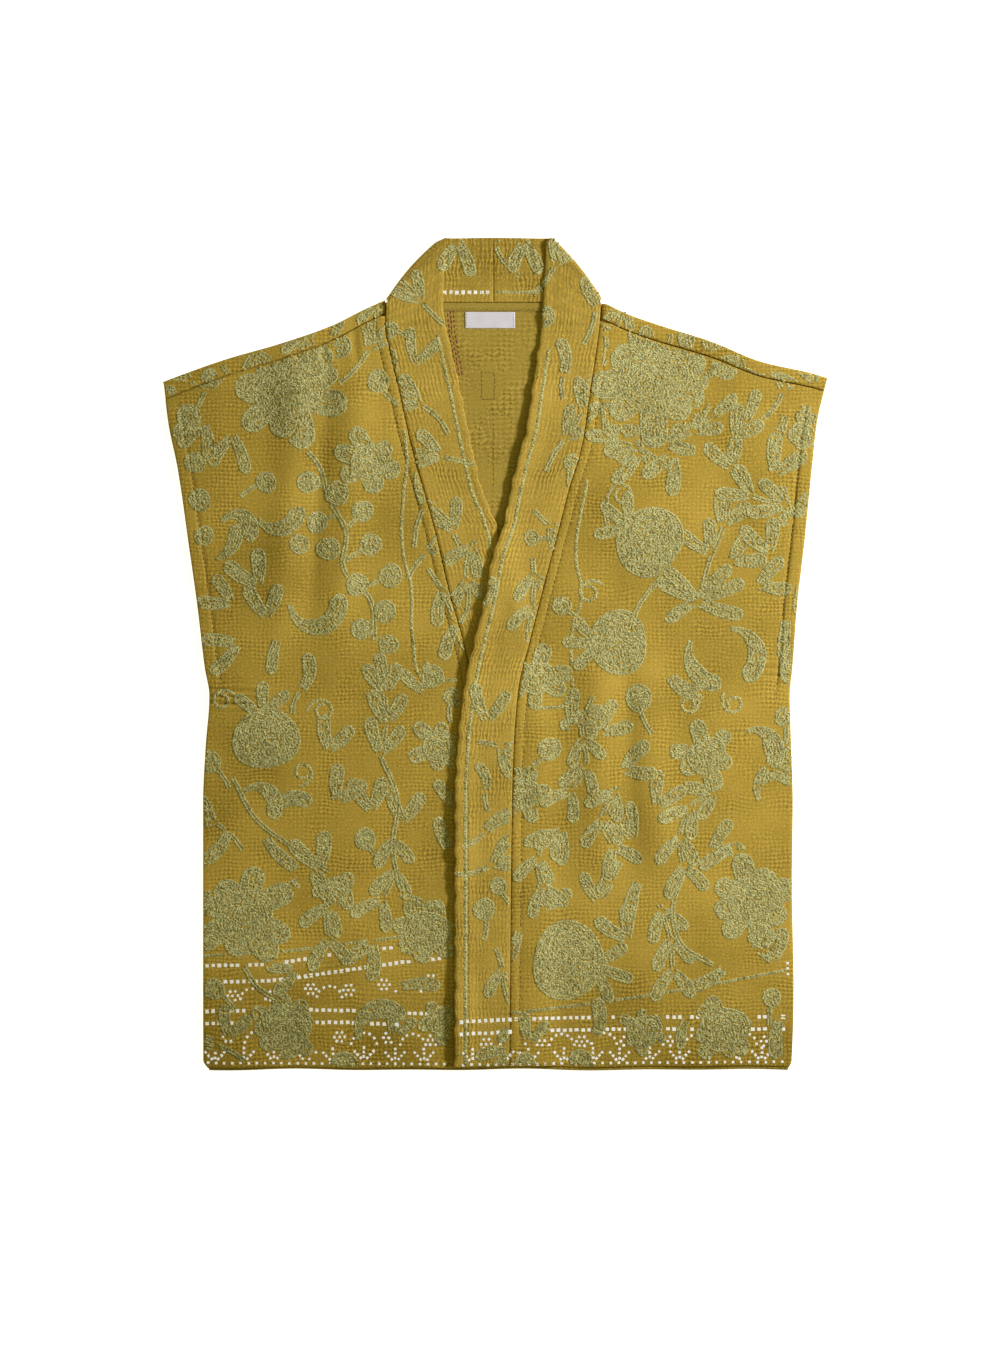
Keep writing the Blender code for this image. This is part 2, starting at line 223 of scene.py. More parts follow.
def blend_colour(tree, share, first, second):
    """From the first colour to the second, both red, green and blue."""
    mix = put(tree, "Mix", {0: share, 6: (*first, 1.0), 7: (*second, 1.0)}, data_type="RGBA")
    return mix.outputs[2]


def bumped(tree, shader, strength, distance, height):
    bump = put(tree, "Bump", {"Strength": strength, "Distance": distance, "Height": height})
    tree.links.new(bump.outputs[0], shader.inputs["Normal"])


def painted_falloff_shade(tree, at, hem, side):
    """Painted shade: how much darker near the hem and the viewer's left side, as the lamp's light falls off.
    """
    split = put(tree, "SeparateXYZ", {0: at})
    return reckon(tree, "ADD", ranged(tree, split.outputs["Y"], -352.0, -270.0, hem, 0.0),
                  ranged(tree, split.outputs["X"], -280.0, -120.0, side, 0.0))


def quilted_cotton(name, light, dark, glint, rows, columns, pucker, depth=0.5, stray=5.0):
    """Kantha-quilted cotton, in thread coordinates: rows of running stitch and puckers across them.

    Height is a cosine across the rows plus a cosine along them whose phase a noise shifts, each
    fading in and out in patches, plus a fine slub noise. Crests are painted light and troughs painted
    dark as shade, with slow clouds, and a golden yarn shows at some of the places where two crests
    cross. The colour is painted darker as shade near the hem and on the viewer's left, where the
    lamp's light falls off, and is darker at the back neck.
    """
    mat, tree, shader = new_material(name)
    at = put(tree, "Attribute", attribute_name="weave").outputs["Vector"]
    split = put(tree, "SeparateXYZ", {0: at})
    drift = noise(tree, at, 0.10, 3.0, 0.65)
    turn = reckon(tree, "MULTIPLY_ADD", split.outputs["X"], 2.0 * math.pi / columns,
                  reckon(tree, "MULTIPLY", drift, 14.0))
    column = reckon(tree, "MULTIPLY_ADD", reckon(tree, "COSINE", turn), 0.5, 0.5)
    lag = reckon(tree, "MULTIPLY_ADD", reckon(tree, "COSINE", turn), 0.35,
                 reckon(tree, "MULTIPLY", drift, stray))
    turn = reckon(tree, "MULTIPLY_ADD", split.outputs["Y"], 2.0 * math.pi / rows, lag)
    row = reckon(tree, "MULTIPLY_ADD", reckon(tree, "COSINE", turn), -0.5, 0.5)
    firm = ranged(tree, noise(tree, at, 0.035, 3.0), 0.40, 0.66, 0.08, 0.95)
    check = reckon(tree, "MULTIPLY_ADD", reckon(tree, "SUBTRACT", row, 0.5), 1.0 - pucker,
                   reckon(tree, "MULTIPLY", reckon(tree, "SUBTRACT", column, 0.5), pucker))
    check = reckon(tree, "MULTIPLY_ADD", check, firm, 0.5)
    slub = noise(tree, at, 0.6, 4.0, 0.8)
    # Painted shade: the colour is darker in the troughs of the quilting and lighter on its crests.
    shade = reckon(tree, "MULTIPLY_ADD", reckon(tree, "SUBTRACT", check, 0.5), depth * 1.5, 0.55)
    shade = reckon(tree, "ADD", shade, reckon(tree, "MULTIPLY_ADD", slub, 1.7, -0.85))
    clouds = noise(tree, at, 0.012, 3.0)
    shade = reckon(tree, "ADD", shade, reckon(tree, "MULTIPLY_ADD", clouds, 0.9, -0.45))
    # Painted shade: darker towards the hem and the viewer's left, where the lamp's light falls off.
    shade = reckon(tree, "ADD", shade, painted_falloff_shade(tree, at, -0.24, -0.15))
    by_neck = ranged(tree, split.outputs["Y"], 304.0, 330.0, 0.0, -0.16)
    shade = put(tree, "Clamp", {0: reckon(tree, "ADD", shade, by_neck)}).outputs[0]
    colour = blend_colour(tree, shade, dark, light)
    fleck = noise(tree, at, 0.24, 1.0)
    crossing = reckon(tree, "MULTIPLY", reckon(tree, "MULTIPLY", row, column),
                      reckon(tree, "ADD", fleck, slub))
    tinted = put(tree, "Mix", {0: ranged(tree, crossing, 0.82, 1.05, 0.0, 0.8), 6: colour, 7: (*glint, 1.0)},
                 data_type="RGBA")
    tree.links.new(tinted.outputs[2], shader.inputs["Base Color"])
    bumped(tree, shader, 0.9, 0.0011 * depth, reckon(tree, "MULTIPLY_ADD", slub, 0.6, check))
    tree.links.new(reckon(tree, "MULTIPLY_ADD", slub, 0.12, 0.8), shader.inputs["Roughness"])
    shader.inputs["Specular IOR Level"].default_value = 0.12
    shader.inputs["Sheen Weight"].default_value = 0.03
    shader.inputs["Sheen Roughness"].default_value = 0.5
    return mat


ROW_PITCH = 3.6         # from one row of quilting to the next
mustard = quilted_cotton("mustard quilted cotton", (0.66, 0.445, 0.072), (0.19, 0.125, 0.008),
                         (0.78, 0.45, 0.04), ROW_PITCH, 3.9, 0.4)
lining_cotton = quilted_cotton("olive inside cotton", (0.52, 0.37, 0.068), (0.27, 0.185, 0.020),
                               (0.60, 0.37, 0.05), 4.4, 5.4, 0.35, depth=0.75, stray=13.0)

half_width = np.concatenate([np.linspace(0.0, NECK_HALF - 0.3, 20), np.linspace(NECK_HALF + 0.3, 293.0, 39),
                             [295.5, 297.2, 298.3, SHOULDER_HALF]])
reach = np.append(-half_width[:0:-1], half_width)
neck = np.abs(reach) < NECK_HALF
outside = QUILT + GAP / 2.0


def by_half(function, x):
    return np.where(x < 0.0, function("right", x), function("left", x))


clear_of_band = 3.0 * (reach < -NECK_HALF) * (1.0 - ease((np.abs(reach) - NECK_HALF - 0.3) / 40.0))
on_fold = reach - clear_of_band
fold = np.column_stack([on_fold, by_half(shoulder_fold, on_fold)])
ahead = np.column_stack([on_fold + 1.0, by_half(shoulder_fold, on_fold + 1.0)])
line = (ahead - fold) / np.linalg.norm(ahead - fold, axis=1)[:, None]
inward = np.column_stack([line[:, 1], -line[:, 0]])
roll = fold + inward * outside
roll[neck] = np.column_stack([reach[neck], np.full(neck.sum(), NECK_SEAM + 0.1)])
slant = 3.0 * np.sign(reach) * ease((np.abs(reach) - 230.0) / (SHOULDER_HALF - 230.0))
on_seam = on_fold - slant
seam = np.column_stack([on_seam, by_half(shoulder_seam, on_seam)])

heights = BACK_HEM + np.array([0.0, 0.6, 1.4, 2.8])
heights = np.append(heights, np.linspace(BACK_HEM + 6.0, SHOULDER_TIP, 92))
bend = 0.9 * ease((heights - 40.0) / (SHOULDER_TIP - 40.0))
y = heights[:, None] + (roll[:, 1] - heights[:, None]) * bend[:, None]
edge_x = np.where(reach < 0.0, -along(SIDES, 1, y[:, :1]), along(SIDES, 2, y[:, -1:]))
x = edge_x * reach / half_width[-1]
x, y = np.vstack([x, roll[:, 0]]), np.vstack([y, roll[:, 1]])
edge_x = np.vstack([edge_x, edge_x[-1]])
near_edge = np.minimum(np.abs(edge_x) - np.abs(x), y - BACK_HEM) / 2.4
flat_rows = len(y)
y = y + hem_wave(x, y)
outer = np.stack([x, y, np.zeros_like(x)], axis=2)
inner = np.stack([x, y, QUILT - 0.8 * (1.0 - rounded(near_edge))], axis=2)
for turn in np.linspace(-math.pi / 2.0, math.pi / 2.0, 11)[1:]:
    layers = []
    for far in (outside, GAP / 2.0):
        over = roll - inward * far * math.cos(turn)
        layers.append(np.column_stack([over, np.full(len(reach), outside + far * math.sin(turn))]))
    outer, inner = np.append(outer, layers[:1], axis=0), np.append(inner, layers[1:], axis=0)
for t in (0.2, 0.4, 0.6, 0.75, 0.86, 0.94, 1.0):
    over = roll + (seam - roll) * t
    width = np.linalg.norm(seam - roll, axis=1)
    drop = 0.9 * (1.0 - rounded((1.0 - t) * width / 2.2))
    swell = 0.25 * np.sin(math.pi * t) * (1.0 + mottle(reach, 0.0, 14.0, 3))
    layers = [np.column_stack([over, 2.0 * outside + swell - drop]),
              np.column_stack([over, np.full(len(reach), outside + GAP / 2.0)])]
    outer, inner = np.append(outer, layers[:1], axis=0), np.append(inner, layers[1:], axis=0)
present = np.ones((len(outer) - 1, len(reach) - 1), bool)
present[flat_rows - 1:, neck[:-1] | neck[1:]] = False
strip_faces = [outer[flat_rows:, reach < -NECK_HALF], outer[flat_rows:, reach > NECK_HALF]]
back = sewn_sheet("back_cloth", outer, inner, [mustard, lining_cotton], present=present)
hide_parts("back_panel")


# The two fronts are the same quilted cotton as the back. The wearer's left front, on the viewer's
# right, lies over the right one. Each has a turned armhole hem held by a row of topstitching, and
# is sewn to the shoulder strip above and to the neck band along its inner edge.
BAND = 3.4
BACK_TOP = QUILT
BAND_TOP = BACK_TOP + GAP + BAND
ROW_RISE = 0.32         # height of the cloth between two rows
UNDERARM = -38.0
HEM_STITCH = 12.0       # from the armhole edge to its topstitching
SEAM_STITCH = 8.6       # from the band seam to its topstitching
BANDS = (               # height, left seam, left free edge, right free edge, right seam
    (374.0, -95.0, -44.0, 46.5, 91.0), (316.0, -97.5, -46.8, 43.2, 95.0), (296.0, -98.3, -44.5, 41.8, 94.0),
    (270.0, -93.6, -38.5, 38.2, 90.5), (230.0, -84.6, -29.8, 32.1, 84.6), (200.0, -78.0, -23.6, 27.6, 80.5),
    (180.0, -73.0, -19.5, 21.9, 76.4), (150.0, -64.5, -12.5, 14.5, 67.0), (113.0, -54.5, 1.8, 6.8, 57.5),
    (86.0, -47.7, 7.0, -2.8, 50.3), (54.0, -40.5, 12.0, -8.3, 42.0), (10.0, -28.0, 23.0, -19.0, 31.0),
    (-30.0, -19.5, 31.0, -27.5, 21.2), (-80.0, -16.0, 36.0, -33.4, 17.0), (-132.0, -15.0, 38.0, -36.0, 15.3),
    (-374.0, -14.0, 38.0, -36.0, 12.8),
)
FOLDS = {               # x, y of the upper end, x, y of the lower end, ridges' distance, rise
    "right": (-148.0, 290.0, -172.0, -50.0, 26.0, 4.4),
    "left": (112.0, 20.0, 124.0, -240.0, 24.0, 3.8),
}
CREASES = {             # x, y of one end, x, y of the other end, width, depth
    "right": ((-263, -33, -206, -35, 1.9, 1.1), (-262, -38.5, -208, -40, 1.9, 1.0),
              (-263, -44.5, -210, -46, 1.9, 1.0), (-190, 290, -170, 255, 3.0, 0.8),
              (-160, 296, -150, 250, 3.6, 0.9), (-128, 300, -124, 258, 3.0, 0.7),
              (-207, 283, -190, 258, 3.0, 0.5), (-150, 240, -168, 20, 4.5, 0.7)),
    "left": ((271, 226, 270, 202, 2.0, 0.9), (228, -13, 267, -14, 2.0, 0.7), (236, -20, 266, -19, 2.0, 0.6),
             (118, 0, 126, -190, 4.0, 0.6), (96, 250, 90, 200, 2.6, 0.4)),
}


def support(half, x, y):
    """What a front lies on: the back, or the folded band near the neck, or the right band."""
    base = BACK_TOP + (BAND - BACK_TOP) * ease((y - 284.0) / 20.0)
    if half == "right":
        return base
    lower_edge = along(BANDS, HALVES["right"]["free"], y)
    return np.maximum(base, BACK_TOP + (BAND_TOP - BACK_TOP) * (1.0 - ease((x - lower_edge) / 24.0)))


def front_low(half, x, y):
    """Underside of a front: its support, the gap, one long fold of two ridges, and a slow drift."""
    x0, y0, x1, y1, apart, rise = FOLDS[half]
    t = (y0 - y) / (y0 - y1)
    offset = (np.abs(x - (x0 + (x1 - x0) * t)) - apart) / apart
    ridge = rise * ease(t / 0.2) * ease((1.0 - t) / 0.35) * np.exp(-2.2 * offset * offset)
    from_side = np.abs(along(SIDES, HALVES[half]["side"], y)) - np.abs(x)
    drift = 0.5 * (1.0 + mottle(x, y, 95.0, 11)) * ease(from_side / 30.0)
    return support(half, x, y) + GAP + ridge + drift


def front_edges(half, y):
    """x of the outer edge, along side, armhole and shoulder seam, and x of the band seam."""
    spec = HALVES[half]
    reach = np.linspace(100.4, SHOULDER_HALF, 120)
    slope = np.interp(y, (shoulder_seam(half, reach) - 0.9)[::-1], reach[::-1])
    side = np.abs(along(SIDES, spec["side"], y))
    return spec["sign"] * np.minimum(side, slope), along(BANDS, spec["seam"], y) + spec["sign"] * 0.45


def wander(x, y):
    """How far the quilting rows stray from level."""
    return 1.2 * mottle(x, y, 48.0, 5)


def front_height(half, x, y):
    """Outer face of a front: underside plus cloth, rounded edges, quilting rows, hem and creases."""
    outer_x, inner_x = front_edges(half, y)
    from_outer, from_seam = np.abs(outer_x - x), np.abs(x - inner_x)
    z = front_low(half, x, y) + QUILT
    z = z - 0.95 * (1.0 - rounded(np.minimum(from_outer, y - HALVES[half]["hem"]) / 2.6))
    pinch = 1.0 + 0.35 * np.sin(y * 1.31) + 0.3 * np.sin(y * 0.77 + 1.0)
    z = z - 1.25 * pinch * (1.0 - rounded(from_seam / 3.4))
    taut = ease(0.35 + 0.9 * mottle(x, y, 70.0, 14))
    z = z + taut * ROW_RISE * 0.5 * (1.0 - np.cos(2.0 * math.pi * (y + wander(x, y)) / ROW_PITCH))
    hem = ease((y - UNDERARM) / 20.0) * (1.0 - ease((y - SHOULDER_TIP) / 14.0 + 1.0))
    z = z + hem * (0.7 * (1.0 - ease((from_outer - HEM_STITCH + 1.0) / 2.0))
                   - 1.1 * np.exp(-((from_outer - HEM_STITCH) / 0.9) ** 2))
    z = z + 0.35 * (1.0 - ease((from_seam - SEAM_STITCH + 1.0) / 2.0))
    z = z - 0.7 * pinch * np.exp(-((from_seam - SEAM_STITCH) / 0.9) ** 2)
    for x0, y0, x1, y1, width, depth in CREASES[half]:
        length = math.hypot(x1 - x0, y1 - y0)
        t = ((x - x0) * (x1 - x0) + (y - y0) * (y1 - y0)) / length**2
        across = ((x - x0) * (y1 - y0) - (y - y0) * (x1 - x0)) / length / width
        groove = 0.7 * np.exp(-(np.abs(across) - 2.0) ** 2) - np.exp(-across * across)
        z = z + depth * groove * ease(t / 0.3) * ease((1.0 - t) / 0.3)
    return z


def front_cloth(half):
    """Level rows from hem to neck, columns crowded at both edges and at the two stitched lines."""
    spec = HALVES[half]
    count = 6 * round((spec["top"] - spec["hem"]) / 5.4) + 1
    rows = spec["hem"] + np.array([0.0, 0.35, 0.9, 1.7, 2.8, 4.0])
    rows = np.append(rows, np.linspace(spec["hem"] + 5.2, spec["top"], count - 6))
    outer_x, inner_x = front_edges(half, rows)
    width = np.abs(outer_x - inner_x)[:, None]
    snug = np.minimum(1.0, width / 70.0)
    from_outer = np.array([0.0, 0.4, 1.0, 1.9, 3.2, 5.0, 7.5, 10.0, 11.3, 12.0, 12.7, 14.0, 17.0])
    from_seam = np.array([12.0, 9.4, 8.6, 7.8, 5.5, 3.6, 2.2, 1.2, 0.5, 0.0])
    between = width - (from_outer[-1] + from_seam[0]) * snug
    middle = from_outer[-1] * snug + between * np.linspace(0.0, 1.0, 40)[1:-1]
    place = np.hstack([from_outer * snug, middle, width - from_seam * snug])
    x = outer_x[:, None] + (inner_x - outer_x)[:, None] * place / width
    y = np.repeat(rows[:, None], x.shape[1], axis=1)
    lowered = y + hem_wave(x, y)
    face = np.stack([x, lowered, front_height(half, x, y)], axis=2)
    lining = np.stack([x, lowered, front_low(half, x, y)], axis=2)[::6, ::4]
    piece = sewn_sheet(f"front_{half}_cloth", face, lining, [mustard, lining_cotton], steps=(6, 4),
                       threads=np.stack([x, y + wander(x, y)], axis=2))
    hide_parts(f"front_{half}_panel")
    return piece, [face]


fronts = {half: front_cloth(half) for half in HALVES}


# The neck band is two long strips of the same cotton, folded double and joined at the centre back.
# Each stands up behind the neck with its inner face showing, folds over at the side of the neck and
# runs down its front to the hem. Its fine quilting lines run lengthwise.
CENTRE_BACK = -1.4
BAND_TOP_EDGE = 374.6
BAND_LEVEL = 292.0      # below this height the band's sections are level
LINE_STITCH = 9.0       # from the free edge to the line of chain stitch

band_cotton = quilted_cotton("mustard band cotton", (0.70, 0.475, 0.085), (0.21, 0.14, 0.012),
                             (0.78, 0.45, 0.04), 5.2, 3.6, 0.72)


def free_edge(half, y):
    """The free edge with its slight waviness, the product of two sines."""
    wave = 0.9 * np.sin(0.31 * y) * np.sin(0.083 * y + 1.0) * ease((BAND_LEVEL - y) / 20.0)
    return along(BANDS, HALVES[half]["free"], y) + wave


def band_lift(half, y, from_free):
    """The upper band's free edge stands a little off what it lies on."""
    if half == "right":
        return 0.0
    lift = 3.0 + 0.9 * np.sin(0.037 * y + 1.0)
    return lift * ease((BAND_LEVEL - y) / 30.0) * (1.0 - ease(from_free / 24.0))


def band_height(half, x, y, from_seam, from_free):
    """Outer face of a band: both layers, uneven, sunk at the edges and at the stitch line."""
    z = support(half, x, y) + GAP + BAND + band_lift(half, y, from_free)
    z = z - 1.1 * (1.0 - rounded(from_seam / 3.0)) * (1.0 + 0.3 * np.sin(y * 1.2))
    z = z - 1.6 * (1.0 - rounded(np.minimum(from_free, y - HALVES[half]["hem"]) / 3.4))
    z = z - 0.35 * np.exp(-((from_free - LINE_STITCH) / 1.4) ** 2)
    ripple = 0.28 * np.sin(0.42 * y + 0.6) * ease(1.0 - from_free / 30.0) + 0.22 * mottle(x, y, 26.0, 21)
    return z + 0.3 * mottle(x, y, 60.0, 8) + ripple - 0.35


def neck_band(half):
    """Sections carried along the band's path: back neck, fold, then down the front to the hem."""
    spec = HALVES[half]
    sign = spec["sign"]
    share = np.concatenate([[0.0, 0.008, 0.022, 0.045], np.linspace(0.075, 0.925, 21),
                            [0.95, 0.97, 0.985, 0.995, 1.0]])
    far, close = BAND + GAP / 2.0, GAP / 2.0
    start, end = np.array(spec["fold_neck"]), np.array(spec["fold_free"])
    line = (end - start) / np.linalg.norm(end - start)
    inward = sign * np.array([-line[1], line[0]])
    fold = start + np.outer(share, end - start)
    fold = fold - inward * (spec["bulge"] * np.sin(math.pi * share))[:, None]
    fold = fold + inward * (spec["corner"] * ease((share - 0.86) / 0.14))[:, None]
    tight = 1.0 - 0.7 * ease((share - 0.8) / 0.2)[:, None]
    roll = fold + inward * far * tight
    low = NECK_SEAM + 0.16
    height = low + (BAND_TOP_EDGE - low) * share
    centre = np.column_stack([np.full(len(share), CENTRE_BACK - sign * 0.02), height])
    deep = np.linalg.norm(end - start)
    sink = 1.3 * (1.0 - rounded((1.0 - share) * deep / 3.2)) + 0.8 * (1.0 - rounded(share * deep / 2.4))
    outer, inner, weave = [], [], []
    for t in np.concatenate([[0.0, 0.008, 0.02, 0.045], np.linspace(0.08, 0.97, 22)]):
        flat = centre + (roll - centre) * t
        flat[:, 1] += (roll[:, 1] - centre[:, 1]) * (t**3 - t) * (1.0 - share)
        seam_dip = 0.9 * (1.0 - rounded(t * 97.0 / 2.2))
        ripple = 0.25 * mottle(flat[:, 0], flat[:, 1], 11.0, 31)
        ripple = ripple + 0.3 * np.sin(0.9 * flat[:, 0] + 2.0 * mottle(flat[:, 0], flat[:, 1], 60.0, 32))
        ripple = ripple * ease(t / 0.1) * ease((1.0 - t) / 0.1)
        outer.append(np.column_stack([flat, np.zeros(len(share))]))
        inner.append(np.column_stack([flat, BAND - (sink + seam_dip) * ease((1.0 - t) / 0.2) + ripple]))
        weave.append(flat)
    for turn in np.linspace(-math.pi / 2.0, math.pi / 2.0, 13):
        for rows, reach in ((outer, far), (inner, close)):
            flat = roll - inward * reach * math.cos(turn) * tight
            rows.append(np.column_stack([flat, np.full(len(share), far + reach * math.sin(turn))]))
        weave.append(np.column_stack([share * deep, np.full(len(share), 400.0 - turn * far)]))
    down = np.linspace(BAND_LEVEL, spec["hem"] + 4.4, 366)[1:]
    down = np.append(down, spec["hem"] + np.array([3.2, 2.1, 1.3, 0.7, 0.3]))
    at_seam = np.append(np.linspace(roll[0, 1], BAND_LEVEL, 27)[1:], down)
    at_free = np.append(np.linspace(roll[-1, 1], BAND_LEVEL, 27)[1:], down)
    for i, (low_y, high_y) in enumerate(zip(at_seam, at_free)):
        y = low_y + (high_y - low_y) * share
        x_seam, x_free = along(BANDS, spec["seam"], low_y), free_edge(half, high_y)
        x = x_seam + (x_free - x_seam) * share
        width = abs(float(x_free - x_seam))
        top = band_height(half, x, y, share * width, (1.0 - share) * width)
        top = top + (2.0 * far - top) * (1.0 - ease(i / 7.0))
        lowered = y + hem_wave(x, y)
        outer.append(np.column_stack([x, lowered, top]))
        low = support(half, x, y) + GAP + band_lift(half, y, (1.0 - share) * width)
        inner.append(np.column_stack([x, lowered, low]))
        weave.append(np.column_stack([share * 54.0, np.full(len(share), low_y)]))
    outer, inner = np.array(outer), np.array(inner)
    piece = sewn_sheet(f"band_{half}_cloth", outer, inner, [band_cotton], threads=np.array(weave))
    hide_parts(f"collar_band_{half}")
    return piece, [outer, inner]


bands = {half: neck_band(half) for half in HALVES}


# A smooth cotton tape covers the raw seam inside the back neck, and a bare satin label is sewn
# below it. Both lie flat on the inside of the back.
def small_strip(name, x0, x1, y0, y1, low, thick, mat):
    """A flat strip whose top has rounded edges and is slightly uneven."""
    lead = np.array([0.0, 0.006, 0.018, 0.04])
    u = np.concatenate([lead, np.linspace(0.07, 0.93, 27), 1.0 - lead[::-1]])
    v = np.concatenate([lead * 3.0, np.linspace(0.2, 0.8, 9), 1.0 - lead[::-1] * 3.0])
    x, y = np.meshgrid(x0 + (x1 - x0) * u, y0 + (y1 - y0) * v)
    edge = np.minimum(np.minimum(x - x0, x1 - x), np.minimum(y - y0, y1 - y))
    lift = 0.12 * mottle(x, y, 17.0, 2)
    top = low + thick - 0.3 * (1.0 - rounded(edge / 0.9)) + np.maximum(lift, -0.1)
    face = np.stack([x, y, top], axis=2)
    lining = np.stack([x, y, np.full_like(x, low)], axis=2)
    return sewn_sheet(name, face, lining, [mat])


tape_cotton = quilted_cotton("plain tape cotton", (0.48, 0.345, 0.065), (0.27, 0.19, 0.022),
                             (0.50, 0.34, 0.05), 1.4, 1.4, 0.5, depth=0.2)
tape = small_strip("neck_tape_cloth", -84.0, 84.0, 308.6, 315.6, BACK_TOP + GAP, 0.8, tape_cotton)
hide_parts("neck_tape")


def in_millimetres(tree):
    """The object's own coordinates, in millimetres."""
    place = put(tree, "TexCoord").outputs["Object"]
    return put(tree, "VectorMath", {0: place, 1: (1000.0, 1000.0, 1000.0)}, operation="MULTIPLY").outputs[0]


satin, tree, shader = new_material("woven satin label")
at = in_millimetres(tree)
split = put(tree, "SeparateXYZ", {0: at})
thread = reckon(tree, "SINE", reckon(tree, "MULTIPLY", split.outputs["Y"], 12.0))
cross = reckon(tree, "SINE", reckon(tree, "MULTIPLY", split.outputs["X"], 9.0))
weft = reckon(tree, "MULTIPLY_ADD", reckon(tree, "MULTIPLY", thread, cross), 0.22, noise(tree, at, 1.6, 2.0))
tree.links.new(blend_colour(tree, weft, (0.60, 0.55, 0.60), (0.88, 0.85, 0.88)), shader.inputs["Base Color"])
bumped(tree, shader, 0.5, 0.0001, weft)
shader.inputs["Roughness"].default_value = 0.45
label = small_strip("woven_label_cloth", -27.0, 18.0, 292.9, 307.6, BACK_TOP + GAP, 0.5, satin)
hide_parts("woven_label")


# All the outer cloth is covered with sage chain stitch: blossoms, round fruits, leaf pairs, berries
# and scrolls on stems, each filled with rows that follow its outline. The stitches are separate
# loops of thick cotton yarn, and where a panel ends they are cut off at the seam.
ROW_GAP = 2.1           # from one row of stitches to the next
LINK = 2.8              # from one stitch to the next along its row
CELL = 1.0              # side of a cell of the field on which room for stitches is marked
FIELD = (-312.0, -388.0, 624, 780)      # the field's left and lower edges, its columns and rows

yarn, tree, shader = new_material("sage embroidery yarn")
at = in_millimetres(tree)
tone = put(tree, "Attribute", attribute_name="tone").outputs["Fac"]
painted_hollow_shade = put(tree, "Attribute", attribute_name="painted_hollow_shade").outputs["Fac"]
fuzz_and_speck_shade = noise(tree, at, 0.85, 3.0, 0.7)
clouds = noise(tree, at, 0.012, 2.0)
# Painted shade: this fine noise paints dark specks for the shadows between the loops, and is also the yarn's
# bump.
shade = ranged(tree, fuzz_and_speck_shade, 0.37, 0.53)
shade = reckon(tree, "ADD", shade, reckon(tree, "MULTIPLY_ADD", clouds, 0.4, -0.2))
shade = reckon(tree, "ADD", shade, reckon(tree, "SUBTRACT", tone, 0.5))
# Painted shade: darker towards the hem and the viewer's left, where the lamp's light falls off.
shade = reckon(tree, "ADD", shade, painted_falloff_shade(tree, at, -0.26, -0.18))
shade = put(tree, "Clamp", {0: shade}).outputs[0]
sage = blend_colour(tree, shade, (0.18, 0.163, 0.04), (0.715, 0.675, 0.275))
# Painted shade: the loops' middles and outer rims are painted near black where their recesses lie.
sage_with_painted_shade = put(tree, "Mix", {0: ranged(tree, painted_hollow_shade, 0.3, 0.95), 6: sage, 7: (0.065, 0.06, 0.014, 1.0)},
           data_type="RGBA")
tree.links.new(sage_with_painted_shade.outputs[2], shader.inputs["Base Color"])
bumped(tree, shader, 0.6, 0.0003, fuzz_and_speck_shade)
shader.inputs["Roughness"].default_value = 0.8
shader.inputs["Specular IOR Level"].default_value = 0.25
shader.inputs["Sheen Weight"].default_value = 0.1


def smooth_path(points, step=0.7):
    """A Hermite curve through points, sampled evenly, its slopes the central differences."""
    points = np.array(points, float)
    t = np.append(0.0, np.cumsum(np.linalg.norm(np.diff(points, axis=0), axis=1)))
    slope = np.gradient(points, t, axis=0)
    at = np.linspace(0.0, t[-1], max(8, int(t[-1] / step)))
    i = np.clip(np.searchsorted(t, at) - 1, 0, len(t) - 2)
    step = (t[i + 1] - t[i])[:, None]
    return hermite((at - t[i])[:, None] / step, step, points[i], points[i + 1], slope[i], slope[i + 1])


def walk(x, y, headings, step):
    """The path of equal steps from a place, each in the direction of its heading in degrees."""
    turn = np.radians(headings)
    return np.column_stack([x + np.cumsum(np.cos(turn)) * step, y + np.cumsum(np.sin(turn)) * step])


def bent_path(x, y, angle, length, bend):
    """A path whose heading turns evenly from angle by bend degrees over its length."""
    s = np.linspace(0.0, length, max(8, int(length / 0.6)))
    return walk(x, y, angle + bend * s / length, s[1] - s[0])


def leaf(x, y, angle, length, width, bend=0.0, root=0.74):
    """A sausage: half its width grows from root at the base, and ends in a round tip."""
    path = bent_path(x, y, angle, length, bend)
    s = np.linspace(0.0, length, len(path))
    half = width / 2.0 * (root + (1.0 - root) * ease(s / (0.6 * length)))
    return [("stroke", path, half * rounded((length - s) / (0.5 * width)))]


def stem(*points, width=4.6):
    """A stroke of even width, two rows of stitches unless its width says otherwise."""
    path = smooth_path(points)
    return [("stroke", path, np.full(len(path), width / 2.0))]


def blob(x, y, radius, angle=0.0, waves=((2, 0.06),)):
    """A round patch whose radius is 1 plus cosine waves round it, times its size."""
    theta = np.linspace(0.0, 2.0 * math.pi, 120, endpoint=False)
    swell = sum(share * np.cos(count * (theta - math.radians(angle))) for count, share in waves)
    return [("patch", np.array([x, y]), radius * (1.0 + swell))]


def berry(x, y, radius=9.0):
    return blob(x, y, 1.14 * radius, 30.0 * x, ((2, 0.04), (3, 0.03)))


def pair(x, y, angle, length=29.0, width=None, spread=40.0, curl=-26.0):
    """Two leaves from one point, spread to both sides and curled outwards, or inwards below 0."""
    length, width = 1.14 * length, width or 0.46 * length
    return (leaf(x, y, angle + spread, length, width, curl)
            + leaf(x, y, angle - spread, length * 0.93, width, -curl))


